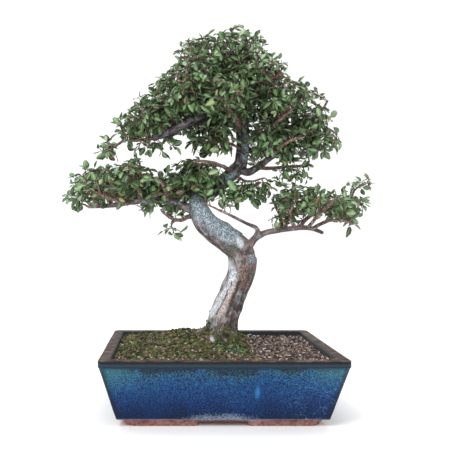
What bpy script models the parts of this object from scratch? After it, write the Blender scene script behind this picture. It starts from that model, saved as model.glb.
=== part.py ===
# Chinese elm bonsai in a glazed rectangular pot, real size, in metres with +Z up.
# Everything is built about the middle of the pot's foot, x to the right and y away from the front,
# and at the end shifted so that the middle of the whole plant's outline stands over the origin.
import math
import random

import bmesh
import bpy
from mathutils import Matrix, Vector, noise
from mathutils.bvhtree import BVHTree
from mathutils.geometry import intersect_ray_tri

MM = 0.001
SEED = 21
CLEARANCE = 0.3 * MM

# Pot: one fired piece with a rim, tapering walls, a foot ring cut into four feet and two drain holes
POT_WIDTH = 256 * MM
POT_DEPTH = 192 * MM
POT_HEIGHT = 71.5 * MM
POT_CORNER = 6 * MM
POT_CORNER_SHRINK = 0.3
POT_CORNER_LEAST = 2 * MM
CORNER_STEPS = 2
POT_TAPER = 17.5 * MM
POT_RIM = 12 * MM
POT_LIP_HEIGHT = 7 * MM
POT_LIP_PROUD = 0.9 * MM
POT_EDGE = 1 * MM
POT_FLOOR = 7.5 * MM
POT_WALL_LOW = 9 * MM
FOOT_HEIGHT = 7 * MM
FOOT_INSET = 0.5 * MM
FOOT_SLOPE_ENDS = 8 * MM
FOOT_SLOPE_FRONT = 1 * MM
FOOT_CORNER = 8 * MM
FOOT_THICK = 24 * MM
FOOT_GAP_HEIGHT = 5 * MM
FOOT_GAP_FRONT = 50 * MM
FOOT_GAP_SIDE = 36 * MM
FOOT_GAP_SLANT = 5 * MM
DRAIN_RADIUS = 8 * MM
DRAIN_OFFSET = 52 * MM

# Screens that keep the soil off the drain holes
SCREEN_WIDTH = 30 * MM
SCREEN_THICK = 1 * MM
SCREEN_CELLS = 2
SCREEN_OPENING = 8 * MM
SCREEN_PITCH = 11 * MM

# Soil: level near the walls, a mossy mound round the trunk, higher on the left
SOIL_EDGE = 66 * MM
SOIL_MOUND = 15 * MM
SOIL_MOUND_AT = (-0.006, 0.004)
SOIL_MOUND_SPREAD = (0.058, 0.046)
SOIL_LEFT_RISE = 4 * MM
SOIL_LEFT_FROM = -20 * MM
SOIL_LEFT_BLEND = 20 * MM
SOIL_EDGE_BLEND = 20 * MM
SOIL_RELIEF = 1.3 * MM
SOIL_GRAIN = 0.011
SOIL_CELLS = (19, 12)
SOIL_WALL_GAP = 1.3 * CLEARANCE
SOIL_WOOD_GAP = 1.6 * CLEARANCE

# Wood: routes as (x, y, z, radius) in millimetres, root to tip
TRUNK_SIDES = 11
TRUNK_STEP = 15 * MM
TRUNK_FLUTE = 0.07
FINE_FLUTE_SHARE = 0.6
RIDGE_TWIST = 12
TRUNK_ROUTE = [
    (5, 0, 34, 16), (5, 0, 56, 19), (6, 0, 75, 20.5), (6, 0, 86, 18.5), (8, 0, 101, 16.7),
    (18, 0, 127, 15), (28, 0, 155, 14.7), (29, 0, 169, 15.3), (25, -2, 181, 15.3), (15, -5, 191, 14.3),
    (-10, -13, 209, 12.1), (-20, -16, 220, 11.2), (-23, -13, 231, 10.2), (-19, -4, 241, 9.4),
    (-2, 11, 252, 9.1),
    (22, 18, 273, 8.4), (31, 18, 285, 7.9), (33, 15, 313, 7.6), (30, 13, 327, 8.8), (26, 11, 340, 7.1),
    (15, 7, 372, 4.3), (7, 3, 395, 2.6), (4, 2, 404, 1.5),
]
ROOT_ROUTES = [
    [(2, -10, 86, 8), (-5, -19, 80, 6), (-12, -26, 74, 4.5), (-17, -31, 64, 3)],
    [(12, -10, 84, 7), (20, -19, 79, 5), (30, -25, 72, 3.6), (36, -28, 62, 2.6)],
    [(-6, 2, 86, 8), (-20, 2, 81, 6), (-34, 0, 75, 4.2), (-44, -2, 64, 2.8)],
    [(16, 4, 84, 8), (26, 8, 77, 5.5), (38, 13, 69, 3.8), (46, 16, 60, 2.6)],
    [(2, 12, 86, 8), (-4, 24, 80, 5.5), (-10, 36, 74, 4), (-14, 44, 64, 2.8)],
]
BRANCH_ROUTES = {
    "left": [
        (-21, -15, 228, 5.7), (-34, -16, 228, 4.8), (-46, -18, 233, 4.5), (-58, -20, 237, 4.3),
        (-88, -22, 237, 3.8), (-119, -21, 232, 2.9), (-148, -18, 230, 1.8),
    ],
    "crown_left": [
        (29, 12, 332, 6.5), (19, 10, 338, 5.9), (7, 6, 340, 5.4), (-5, 2, 340, 5.2), (-16, -3, 338, 5.4),
        (-26, -8, 332, 5.3), (-51, -15, 319, 4.8), (-75, -18, 308, 4.2),
    ],
    "crown_right": [
        (33, 15, 310, 5.4), (42, 12, 312, 4.8), (54, 8, 315, 4.3), (68, 5, 318, 4.2), (81, 2, 321, 4.2),
        (94, 0, 326, 4.3), (112, -3, 331, 3.6),
    ],
    "mid_right": [
        (27, 18, 280, 5.3), (37, 12, 273, 4.8), (47, 6, 277, 4.4), (64, -4, 289, 3.3), (76, -8, 292, 2.7),
        (106, -12, 293, 1.6), (120, -13, 297, 1.1),
    ],
    "lower_right": [
        (30, -1, 174, 6), (37, -6, 185, 4.9), (42, -9, 193, 4.4), (49, -11, 198, 3.8), (60, -13, 202, 3.4),
        (89, -15, 206, 3), (104, -16, 206, 2.7), (114, -16, 203, 2.5), (120, -16, 200, 2.1),
    ],
    "knuckle": [
        (41, -9, 192, 3.2), (46, -12, 202, 3), (43, -14, 207, 2.5), (33, -18, 211, 2), (12, -23, 221, 1.7),
        (3, -24, 225, 1.5),
    ],
    "hanging": [
        (-22, -14, 222, 3.4), (-34, -17, 219, 2.7), (-42, -19, 215, 2.3), (-50, -22, 215, 1.9),
        (-53, -24, 210, 1.4),
    ],
    "left_loop": [(-46, -20, 215, 2), (-57, -30, 219, 1.7), (-65, -34, 227, 1.3)],
    "crown_a": [
        (25, 10, 342, 4), (8, -8, 354, 3.5), (-10, -24, 359, 2.7), (-26, -38, 362, 2),
        (-40, -48, 364, 1.3),
    ],
    "crown_b": [(23, 10, 346, 4), (8, 26, 369, 3.4), (-8, 42, 382, 2.4), (-20, 54, 389, 1.4)],
    "crown_c": [
        (22, 10, 350, 3.8), (33, -8, 363, 3.2), (47, -24, 368, 2.5), (58, -38, 371, 1.8),
        (67, -46, 373, 1.2),
    ],
    "crown_d": [(26, 11, 340, 4), (45, 28, 358, 3.4), (64, 40, 369, 2.3), (78, 46, 374, 1.4)],
    "crown_e": [(16, 8, 368, 3), (2, -4, 383, 2.6), (-11, -14, 391, 1.9), (-23, -22, 398, 1.4)],
    "crown_f": [(12, 6, 380, 2.8), (26, 10, 396, 2.4), (41, 16, 408, 1.8), (50, 19, 414, 1.3)],
    "crown_g": [(-14, -3, 337, 3.5), (-32, -18, 344, 2.9), (-48, -27, 347, 2.1), (-62, -32, 346, 1.3)],
    "crown_h": [(7, 6, 340, 3.6), (-10, 34, 348, 3), (-27, 54, 353, 2.2), (-42, 66, 354, 1.4)],
    "crown_i": [(29, 12, 324, 4), (21, -14, 330, 3.2), (12, -38, 335, 2.2), (6, -60, 338, 1.4)],
    "crown_j": [(30, 14, 326, 4), (37, 40, 340, 3.2), (42, 62, 352, 2.2), (43, 75, 359, 1.4)],
    "crown_k": [(54, 8, 315, 3.2), (62, -14, 323, 2.7), (72, -32, 330, 2), (80, -44, 337, 1.3)],
    "crown_l": [(102, -2, 328, 2.6), (114, -6, 336, 2.1), (123, -8, 345, 1.5), (127, -8, 353, 1.2)],
    "crown_m": [(105, -2, 329, 2.6), (118, -8, 324, 2.1), (129, -12, 319, 1.5), (137, -14, 314, 1.1)],
    "mid_left_a": [(-58, -16, 316, 2.8), (-70, -26, 321, 2.2), (-81, -32, 324, 1.7), (-92, -36, 323, 1.2)],
    "mid_left_b": [(-72, -17, 309, 2.6), (-86, -22, 305, 1.8), (-97, -26, 304, 1.4), (-104, -28, 304, 1.1)],
    "left_a": [(-88, -22, 237, 2.8), (-90, -34, 250, 2.2), (-95, -44, 262, 1.7), (-99, -50, 274, 1.2)],
    "left_b": [(-103, -22, 234, 2.6), (-112, -44, 236, 2), (-123, -62, 239, 1.5), (-130, -70, 242, 1.1)],
    "left_c": [
        (-72, -21, 237, 2.8), (-76, 6, 244, 2.4), (-84, 30, 253, 2.1), (-95, 50, 262, 1.6),
        (-104, 60, 269, 1.2),
    ],
    "left_d": [(-119, -21, 232, 2.2), (-129, -2, 241, 1.7), (-141, 14, 252, 1.3), (-147, 23, 258, 1.1)],
    "left_e": [(-135, -20, 231, 1.9), (-142, -26, 241, 1.5), (-149, -29, 249, 1.1)],
    "left_f": [(-58, -20, 237, 2.6), (-59, -40, 245, 2), (-63, -56, 253, 1.5), (-69, -66, 257, 1.1)],
    "lower_right_a": [(89, -15, 206, 2.5), (81, -22, 218, 2), (81, -30, 228, 1.6), (85, -35, 235, 1.2)],
    "lower_right_b": [
        (93, -15, 206, 2.6), (105, -10, 219, 2.3), (122, -4, 225, 1.9), (140, 2, 230, 1.5),
        (152, 5, 234, 1.1),
    ],
    "lower_right_c": [(73, -14, 204, 2.6), (74, 0, 220, 2.1), (72, 16, 233, 1.7), (70, 28, 242, 1.2)],
    "lower_right_d": [(107, -16, 205, 2.5), (120, -26, 213, 2), (131, -34, 215, 1.6), (142, -40, 212, 1.1)],
    "lower_right_e": [
        (103, -16, 206, 2.4), (109, -34, 219, 1.8), (116, -50, 229, 1.4), (121, -58, 237, 1.1),
    ],
    "mid_right_a": [
        (47, 6, 277, 2.8), (64, 4, 277, 2.1), (82, 2, 278, 1.9), (99, -1, 279, 1.6), (107, -4, 285, 1.2),
    ],
    "mid_right_b": [(64, -4, 289, 2.6), (72, -22, 299, 2), (80, -36, 303, 1.5), (90, -45, 304, 1.1)],
    "mid_right_c": [(55, 1, 283, 2.9), (70, 22, 298, 2.3), (84, 36, 306, 1.4)],
    "centre_a": [(22, 18, 273, 3), (6, -4, 278, 2.3), (-12, -22, 281, 1.8), (-26, -34, 280, 1.3)],
    "centre_b": [(8, 16, 261, 2.8), (-3, 40, 269, 2), (-18, 57, 277, 1.5)],
}
BRANCH_STEP = 45 * MM
MAIN_BRANCH_RADIUS = 4 * MM
MAIN_BRANCH_STOPS = 6
MAIN_BRANCH_SIDES = 6
SIDE_BRANCH_RADIUS = 2.7 * MM
SIDE_BRANCH_SIDES = 4
TWIG_SIDES = 3
ROOT_SIDES = 5
SAWN_STUBS = ("crown_left", "crown_right", "lower_right")

# How much further than the wood its hole in the soil runs, in millimetres
FOOT_HOLE_DEEPER = 1
ROOT_HOLE_LONGER = 0.6

# Sprays that leave the side of a branch, as branch, share of its length and direction
SIDE_SPRAYS = {
    "left_mid": ("left", 0.42, (0.1, 0.35, 1)),
    "left_far": ("left", 0.7, (-0.3, -0.5, 1)),
    "stub_front": ("crown_left", 0.4, (0, -0.7, 1)),
    "stub_back": ("crown_left", 0.62, (-0.3, 0.5, 1)),
    "stub_end": ("crown_left", 0.93, (-0.6, 0.1, 1)),
    "right_front": ("crown_right", 0.42, (0, -0.8, 0.8)),
    "right_back": ("crown_right", 0.66, (0.1, 0.6, 1)),
    "right_up": ("crown_right", 0.85, (-0.2, -0.3, 1)),
    "right_under": ("crown_right", 0.7, (0.2, -0.4, -1)),
    "middle_up": ("mid_right", 0.5, (0.2, 0.3, 1)),
    "low_up": ("lower_right", 0.62, (0.1, -0.3, 1)),
    "leader_left": ("trunk", 0.9, (-1, 0.4, 0.5)),
    "leader_right": ("trunk", 0.93, (0.9, 0.5, 0.5)),
    "leader_front": ("trunk", 0.96, (-0.3, -1, 0.5)),
}

# Leafy pads as (x, y, z, radius x, radius y, radius z, shoots), in millimetres
PADS = {
    "left_tip": (-156, -18, 241, 26, 34, 17, 4),
    "left_outer": (-130, -22, 255, 44, 72, 25, 8),
    "left_inner": (-95, -8, 262, 42, 86, 32, 9),
    "left_root": (-60, -12, 250, 34, 52, 25, 2),
    "centre": (-29, 4, 263, 40, 56, 27, 6),
    "mid_left_tip": (-94, -24, 320, 24, 34, 21, 2),
    "mid_left": (-74, -10, 336, 38, 76, 31, 9),
    "mid_left_in": (-37, 0, 349, 40, 94, 33, 6),
    "crown_top": (4, 4, 405, 54, 64, 39, 14),
    "crown_left": (-36, 0, 377, 46, 94, 37, 9),
    "crown_right": (42, 4, 382, 49, 94, 39, 9),
    "crown_front": (8, -10, 352, 42, 94, 29, 5),
    "right_top": (80, 0, 360, 44, 90, 35, 9),
    "right_tip": (110, -6, 333, 33, 48, 31, 6),
    "right_low": (70, 0, 306, 37, 56, 22, 4),
    "right_low_tip": (112, -8, 303, 31, 40, 19, 2),
    "lower_right": (95, -14, 240, 39, 66, 26, 6),
    "lower_right_tip": (146, -14, 230, 41, 56, 26, 8),
    "hanging": (-55, -25, 203, 14, 14, 14, 1),
}
PAD_TRIES = 40
PAD_MARGIN = 11 * MM
PAD_DEEPER = 1.5
PAD_HEART = 0.3

# Shoots and leaves
STEM_RADIUS = 1 * MM
TIP_RADIUS = 0.6 * MM
STEM_STRAIGHT = 3 * MM
STEM_SAMPLES = 24
SEAT_REACH = 12 * MM
STATION_CHOICE = 1.5
SHOOT_LENGTH = 34 * MM
SHOOT_AHEAD = 22 * MM
SHOOT_ARCH = 0.12
SHOOT_EARLY_ARCH = 0.06
SHOOT_LEAVES = 0.4
SHOOT_ARRIVES = 0.3
SHOOT_STRAIGHT = 0.5
NEARLY_UPRIGHT = 0.1
SHOOT_TRIES = 20
TARGET_SCATTER = 5 * MM
LEAF_LENGTH = (18 * MM, 25 * MM)
LEAF_WIDTH = 0.5
LEAF_THICK = 0.7 * MM
LEAF_NECK = 1.8 * MM
LEAF_WIDE_AT = (0.38, 0.74)
LEAF_WIDE = (1, 0.82)
LEAF_SPACING = 8.2 * MM
LEAF_BARE = 0.2
LEAF_SPREAD = math.radians(62)
LEAF_CUP = 0.07
LEAF_KEEP_OFF = 0.45 * MM
LEAF_TRIES = 18
LEAF_SCATTER = 0.3
LEAF_HEADING_SCATTER = 0.5
LEAF_SPREAD_SHARE = (0.85, 1.2)
LEAF_FACING = Vector((0, -0.1, 0.5))
LEAF_OUTWARD = 0.5
BARK_SHARP = math.radians(40)


def clear_scene():
    for obj in list(bpy.data.objects):
        bpy.data.objects.remove(obj, do_unlink=True)


def material(name, colour, roughness):
    made = bpy.data.materials.new(name)
    made.use_nodes = True
    shader = made.node_tree.nodes["Principled BSDF"]
    shader.inputs["Base Color"].default_value = (*colour, 1)
    shader.inputs["Roughness"].default_value = roughness
    made.diffuse_color = (*colour, 1)
    return made


def add_object(name, verts, faces):
    mesh = bpy.data.meshes.new(name)
    mesh.from_pydata([tuple(v) for v in verts], [], faces)
    built = bmesh.new()
    built.from_mesh(mesh)
    bmesh.ops.recalc_face_normals(built, faces=built.faces)
    built.to_mesh(mesh)
    built.free()
    obj = bpy.data.objects.new(name, mesh)
    bpy.context.scene.collection.objects.link(obj)
    return obj


def boolean(target, others, operation, solver="EXACT"):
    """Applies one Boolean of a collection of closed meshes to the target, then removes them."""
    group = bpy.data.collections.new("operands")
    bpy.context.scene.collection.children.link(group)
    for other in others:
        group.objects.link(other)
    step = target.modifiers.new("join", "BOOLEAN")
    step.operation = operation
    step.operand_type = "COLLECTION"
    step.collection = group
    step.solver = solver
    graph = bpy.context.evaluated_depsgraph_get()
    mesh = bpy.data.meshes.new_from_object(target.evaluated_get(graph))
    target.modifiers.clear()
    target.data = mesh
    for other in others:
        bpy.data.objects.remove(other, do_unlink=True)
    bpy.data.collections.remove(group)
    return target


def keep_largest_body(obj):
    """Drops loose scraps that a union leaves apart from the main body."""
    built = bmesh.new()
    built.from_mesh(obj.data)
    left = set(built.verts)
    bodies = []
    while left:
        start = left.pop()
        body = {start}
        edge = [start]
        while edge:
            vert = edge.pop()
            for link in vert.link_edges:
                other = link.other_vert(vert)
                if other in left:
                    left.discard(other)
                    body.add(other)
                    edge.append(other)
        bodies.append(body)
    bodies.sort(key=len)
    scraps = [vert for body in bodies[:-1] for vert in body]
    bmesh.ops.delete(built, geom=scraps, context="VERTS")
    built.to_mesh(obj.data)
    built.free()
    return len(bodies) - 1


# Loops of points and the skins between them


def rounded_rectangle(width, depth, radius, z):
    points = []
    corners = [(1, 1, 0), (-1, 1, 90), (-1, -1, 180), (1, -1, 270)]
    for sign_x, sign_y, start in corners:
        for step in range(CORNER_STEPS + 1):
            angle = math.radians(start + 90 * step / CORNER_STEPS)
            x = sign_x * (width / 2 - radius) + radius * math.cos(angle)
            y = sign_y * (depth / 2 - radius) + radius * math.sin(angle)
            points.append(Vector((x, y, z)))
    return points


def skin(low, high):
    """Four-sided faces between two equal loops of point numbers."""
    low, high = list(low), list(high)
    count = len(low)
    return [(low[i], low[(i + 1) % count], high[(i + 1) % count], high[i]) for i in range(count)]


def loft(name, rings, closed=False):
    """Skins equal rings of points in order. The end rings are capped, or joined when closed."""
    count = len(rings[0])
    verts = [point for ring in rings for point in ring]
    faces = []
    for low in range(len(rings) - (0 if closed else 1)):
        high = (low + 1) % len(rings)
        faces += skin(range(low * count, (low + 1) * count), range(high * count, (high + 1) * count))
    if not closed:
        faces.append(tuple(reversed(range(count))))
        faces.append(tuple(range((len(rings) - 1) * count, len(rings) * count)))
    return add_object(name, verts, faces)


def rectangle(width, depth, z, x=0, y=0):
    corners = [(1, 1), (-1, 1), (-1, -1), (1, -1)]
    return [Vector((x + sx * width / 2, y + sy * depth / 2, z)) for sx, sy in corners]


def disc(radius, z, x, y, sides=20):
    turn = 2 * math.pi / sides
    angles = [turn * i for i in range(sides)]
    return [Vector((x + radius * math.cos(angle), y + radius * math.sin(angle), z)) for angle in angles]


# Pot, screens and soil


def wall_inset(z):
    """How far the glazed wall stands inside the rim's size at a height."""
    return POT_TAPER * (POT_HEIGHT - z) / (POT_HEIGHT - FOOT_HEIGHT)


def pot_ring(z, inset):
    radius = max(POT_CORNER - POT_CORNER_SHRINK * inset, POT_CORNER_LEAST)
    return rounded_rectangle(POT_WIDTH - 2 * inset, POT_DEPTH - 2 * inset, radius, z)


def foot_ring(z, inset, lean=0):
    """An outline of the foot ring, moved in by its slopes times lean."""
    width = POT_WIDTH - 2 * (inset + lean * FOOT_SLOPE_ENDS)
    depth = POT_DEPTH - 2 * (inset + lean * FOOT_SLOPE_FRONT)
    return rounded_rectangle(width, depth, FOOT_CORNER, z)


def make_pot():
    floor = FOOT_HEIGHT + POT_FLOOR
    lip = POT_HEIGHT - POT_LIP_HEIGHT
    rings = [
        pot_ring(FOOT_HEIGHT, POT_TAPER + 2 * POT_EDGE),
        pot_ring(FOOT_HEIGHT + POT_EDGE, POT_TAPER),
        pot_ring(lip - POT_LIP_PROUD, POT_LIP_PROUD),
        pot_ring(lip, 0),
        pot_ring(POT_HEIGHT - POT_EDGE, 0),
        pot_ring(POT_HEIGHT, POT_EDGE),
        pot_ring(POT_HEIGHT, POT_RIM - POT_EDGE),
        pot_ring(POT_HEIGHT - POT_EDGE, POT_RIM),
        pot_ring(floor, wall_inset(floor) + POT_WALL_LOW),
    ]
    pot = loft("pot", rings)
    outer = POT_TAPER + 2 * POT_EDGE + FOOT_INSET
    ring = [
        foot_ring(0, outer, 1),
        foot_ring(FOOT_HEIGHT + POT_EDGE, outer),
        foot_ring(FOOT_HEIGHT + POT_EDGE, outer + FOOT_THICK),
        foot_ring(0, outer + FOOT_THICK, -1),
    ]
    foot = loft("foot", ring, closed=True)
    boolean(pot, [foot], "UNION")
    cutters = []
    for gap, across in ((FOOT_GAP_FRONT, True), (FOOT_GAP_SIDE, False)):
        low = gap + 2 * FOOT_GAP_SLANT
        reach = 2 * POT_WIDTH
        sizes = [(low, reach), (gap, reach)] if across else [(reach, low), (reach, gap)]
        heights = (-POT_EDGE, FOOT_GAP_HEIGHT)
        cutters.append([rectangle(*size, z) for size, z in zip(sizes, heights)])
    drains = [disc(DRAIN_RADIUS, z, 0, 0) for z in (FOOT_HEIGHT - POT_EDGE, floor + POT_EDGE)]
    for side in (-1, 1):
        cutters.append([[p + Vector((side * DRAIN_OFFSET, 0, 0)) for p in ring] for ring in drains])
    for rings in cutters:
        boolean(pot, [loft("cutter", rings)], "DIFFERENCE")
    return pot


def make_screens():
    low = FOOT_HEIGHT + POT_FLOOR + CLEARANCE
    screens = []
    for side, name in ((-1, "drain_screen_left"), (1, "drain_screen_right")):
        middle = side * DRAIN_OFFSET
        heights = (low, low + SCREEN_THICK)
        screen = loft(name, [rectangle(SCREEN_WIDTH, SCREEN_WIDTH, z, middle) for z in heights])
        cuts = []
        span = (low - POT_EDGE, low + SCREEN_THICK + POT_EDGE)
        offsets = [(cell - (SCREEN_CELLS - 1) / 2) * SCREEN_PITCH for cell in range(SCREEN_CELLS)]
        for x in offsets:
            for y in offsets:
                rings = [rectangle(SCREEN_OPENING, SCREEN_OPENING, z, middle + x, y) for z in span]
                cuts.append(loft("cell", rings))
        screens.append(boolean(screen, cuts, "DIFFERENCE"))
    return screens


def soil_height(x, y):
    mound_x = (x - SOIL_MOUND_AT[0]) / SOIL_MOUND_SPREAD[0]
    mound_y = (y - SOIL_MOUND_AT[1]) / SOIL_MOUND_SPREAD[1]
    mound = SOIL_MOUND * math.exp(-mound_x**2 - mound_y**2)
    left = SOIL_LEFT_RISE / (1 + math.exp((x - SOIL_LEFT_FROM) / SOIL_LEFT_BLEND))
    to_wall = min(POT_DEPTH / 2 - POT_RIM - abs(y), POT_WIDTH / 2 - POT_RIM - abs(x))
    edge = min(1, to_wall / SOIL_EDGE_BLEND)
    relief = SOIL_RELIEF * noise.noise(Vector((x, y, 0)) / SOIL_GRAIN)
    return SOIL_EDGE + mound + left * max(edge, 0) + relief


def soil_block():
    """A block wider than the pot's inside, with the soil's relief on top."""
    columns, rows = SOIL_CELLS
    wide = columns + 1
    verts = []
    for row in range(rows + 1):
        for column in range(wide):
            x = POT_WIDTH * (column / columns - 0.5)
            y = POT_DEPTH * (row / rows - 0.5)
            verts.append(Vector((x, y, soil_height(x, y))))
    faces = []
    for row in range(rows):
        for column in range(columns):
            i = row * wide + column
            faces.append((i, i + 1, i + 1 + wide))
            faces.append((i, i + 1 + wide, i + wide))
    front = list(range(wide))
    right = [row * wide + columns for row in range(1, rows + 1)]
    back = [rows * wide + column for column in range(columns - 1, -1, -1)]
    left = [row * wide for row in range(rows - 1, 0, -1)]
    border = front + right + back + left
    under = [len(verts) + i for i in range(len(border))]
    verts += [Vector((verts[i].x, verts[i].y, 0)) for i in border]
    faces += skin(under, border)
    faces.append(tuple(reversed(under)))
    return add_object("soil", verts, faces)


def make_soil(woody_cutters):
    base = FOOT_HEIGHT + POT_FLOOR + CLEARANCE
    heights = (base, POT_HEIGHT - POT_EDGE, 2 * POT_HEIGHT)
    insets = [wall_inset(base) + POT_WALL_LOW, POT_RIM, POT_RIM]
    inside = loft("inside", [pot_ring(z, inset + SOIL_WALL_GAP) for z, inset in zip(heights, insets)])
    soil = boolean(soil_block(), [inside], "INTERSECT")
    pockets = []
    for side in (-1, 1):
        width = SCREEN_WIDTH + 2 * CLEARANCE
        span = (base - POT_EDGE, base + SCREEN_THICK + CLEARANCE)
        pockets.append(loft("pocket", [rectangle(width, width, z, side * DRAIN_OFFSET) for z in span]))
    boolean(soil, pockets, "DIFFERENCE")
    for cutter in woody_cutters:
        boolean(soil, [cutter], "DIFFERENCE", "MANIFOLD")
    keep_largest_body(soil)
    return soil


# Round wood


def smooth_route(route, step):
    """Points and radii along a Catmull-Rom curve through a route in millimetres."""
    knots = [(Vector(stop[:3]) * MM, stop[3] * MM) for stop in route]
    points = []
    for i in range(len(knots) - 1):
        before = knots[max(i - 1, 0)][0]
        start, start_radius = knots[i]
        end, end_radius = knots[i + 1]
        after = knots[min(i + 2, len(knots) - 1)][0]
        pieces = max(1, round((end - start).length / step))
        for piece in range(pieces):
            t = piece / pieces
            curve = 2 * start + (end - before) * t
            curve += (2 * before - 5 * start + 4 * end - after) * t**2
            curve += (3 * start - before - 3 * end + after) * t**3
            points.append((curve / 2, start_radius + (end_radius - start_radius) * t))
    points.append(knots[-1])
    return points


def tube(points, sides, flute=0, grow=0):
    """Rings of points round a route of (centre, radius), turned along it without twist."""
    rings = []
    side = None
    along = 0
    for i, (centre, radius) in enumerate(points):
        ahead = points[min(i + 1, len(points) - 1)][0]
        behind = points[max(i - 1, 0)][0]
        direction = (ahead - behind).normalized()
        if side is None:
            side = direction.orthogonal().normalized()
        side = (side - direction * side.dot(direction)).normalized()
        other = direction.cross(side)
        along += (centre - behind).length
        ring = []
        for k in range(sides):
            angle = 2 * math.pi * k / sides
            turn = along * RIDGE_TWIST
            ridge = math.cos(3 * angle + turn) + FINE_FLUTE_SHARE * math.cos(5 * angle - turn)
            reach = radius * (1 + flute * ridge) + grow
            ring.append(centre + (side * math.cos(angle) + other * math.sin(angle)) * reach)
        rings.append(ring)
    return rings


def branch_sides(route):
    radius = route[0][3] * MM
    if radius >= MAIN_BRANCH_RADIUS and len(route) >= MAIN_BRANCH_STOPS:
        return MAIN_BRANCH_SIDES
    return SIDE_BRANCH_SIDES if radius >= SIDE_BRANCH_RADIUS else TWIG_SIDES


def make_trunk():
    trunk = loft("trunk", tube(smooth_route(TRUNK_ROUTE, TRUNK_STEP), TRUNK_SIDES, TRUNK_FLUTE))
    limbs = [loft("root", tube(smooth_route(route, TRUNK_STEP), ROOT_SIDES)) for route in ROOT_ROUTES]
    for route in BRANCH_ROUTES.values():
        points = smooth_route(route, BRANCH_STEP)
        limbs.append(loft("limb", tube(points, branch_sides(route))))
    boolean(trunk, limbs, "UNION", "MANIFOLD")
    keep_largest_body(trunk)
    return trunk


def soil_cutters():
    """The trunk's foot and roots a little enlarged, to leave a clear hole in the soil."""
    foot = list(TRUNK_ROUTE[:6])
    x, y, z, radius = foot[0]
    foot[0] = (x, y, z - FOOT_HOLE_DEEPER, radius)
    skin_of_foot = tube(smooth_route(foot, TRUNK_STEP), TRUNK_SIDES, TRUNK_FLUTE, SOIL_WOOD_GAP)
    cutters = [loft("hole", skin_of_foot)]
    for route in ROOT_ROUTES:
        start = Vector(route[-2][:3])
        end = Vector(route[-1][:3])
        past = end + (end - start).normalized() * ROOT_HOLE_LONGER
        longer = route[:-1] + [(*past, route[-1][3])]
        skin_of_root = tube(smooth_route(longer, TRUNK_STEP), ROOT_SIDES, 0, SOIL_WOOD_GAP)
        cutters.append(loft("hole", skin_of_root))
    return cutters


# Leafy sprays


def blade_rings(base, heading, across, normal, length, grow=0):
    """Two four-sided sections of a blade and its tip. Each runs from the near edge up and round."""
    rings = []
    thick = normal * (LEAF_THICK / 2 + grow)
    for at, wide in zip(LEAF_WIDE_AT, LEAF_WIDE):
        middle = base + heading * (length * at)
        half = across * (length * LEAF_WIDTH / 2 * wide + grow)
        cup = normal * (length * LEAF_CUP)
        near, far = middle - half + cup, middle + half + cup
        rings.append([near - thick, near + thick, far + thick, far - thick])
    return rings, base + heading * (length + grow)


def split(quads):
    return [triangle for a, b, c, d in quads for triangle in ((a, b, c), (a, c, d))]


def blade_skin(low, high):
    """Triangles between two sections of a blade, split alike above and below so that they stay apart."""
    edge, above, far_edge, (a, b, c, d) = skin(low, high)
    faces = split([edge, above, far_edge]) + [(a, b, d), (b, c, d)]
    return [face for face in faces if len(set(face)) == 3]


def kept_off_blade(base, heading, across, normal, length):
    """A slightly larger blade with its root, for telling whether the real one would come near anything."""
    rings, tip = blade_rings(base, heading, across, normal, length, LEAF_KEEP_OFF)
    side = across * (LEAF_NECK / 2 + LEAF_KEEP_OFF)
    thick = normal * (STEM_RADIUS + LEAF_KEEP_OFF)
    root = [base - side - thick, base - side + thick, base + side + thick, base + side - thick]
    verts = root + rings[0] + rings[1] + [tip]
    faces = [(0, 1, 2), (0, 2, 3)]
    faces += blade_skin(range(4), range(4, 8)) + blade_skin(range(4, 8), range(8, 12))
    faces += [(8 + i, 8 + (i + 1) % 4, 12) for i in range(4)]
    return verts, faces


def tree_of(verts, faces):
    return BVHTree.FromPolygons([tuple(v) for v in verts], faces)


def bounds_of(verts):
    low = Vector(min(v[axis] for v in verts) for axis in range(3))
    high = Vector(max(v[axis] for v in verts) for axis in range(3))
    return low, high


class Neighbours:
    """The wood and every placed stem and blade, for telling whether a new piece would cross one."""

    def __init__(self, wood):
        mesh = wood.data
        faces = [tuple(face.vertices) for face in mesh.polygons]
        self.wood = tree_of([v.co for v in mesh.vertices], faces)
        self.placed = []

    def add(self, key, verts, faces):
        self.placed.append((key, *bounds_of(verts), tree_of(verts, faces)))

    def clear(self, grows_from, verts, faces):
        """Whether a piece crosses nothing but the stem that it grows from."""
        tree = tree_of(verts, faces)
        if tree.overlap(self.wood):
            return False
        low, high = bounds_of(verts)
        for key, other_low, other_high, other in self.placed:
            if key == grows_from:
                continue
            if any(low[a] > other_high[a] or high[a] < other_low[a] for a in range(3)):
                continue
            if tree.overlap(other):
                return False
        return True


def shell_target(pad, draw):
    """A point in a pad, more often near its outside, with room beyond it for a blade."""
    centre = Vector(pad[:3]) * MM
    radii = [max(radius * MM - PAD_MARGIN, radius * MM / 3) for radius in pad[3:6]]
    direction = Vector((draw.gauss(0, 1), draw.gauss(0, PAD_DEEPER), draw.gauss(0, 1))).normalized()
    reach = math.sqrt(draw.uniform(PAD_HEART, 1))
    return centre + Vector(direction[axis] * radii[axis] * reach for axis in range(3))


def shoot_targets(draw):
    """Tips of the shoots, spread evenly: of some tries, the one farthest from those before it."""
    targets = []
    for pad in PADS.values():
        for _ in range(pad[-1]):
            tries = [shell_target(pad, draw) for _ in range(PAD_TRIES)]
            if targets:
                tries.sort(key=lambda tip: min((tip - other).length for other in targets))
            targets.append(tries[-1])
    return targets


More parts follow.
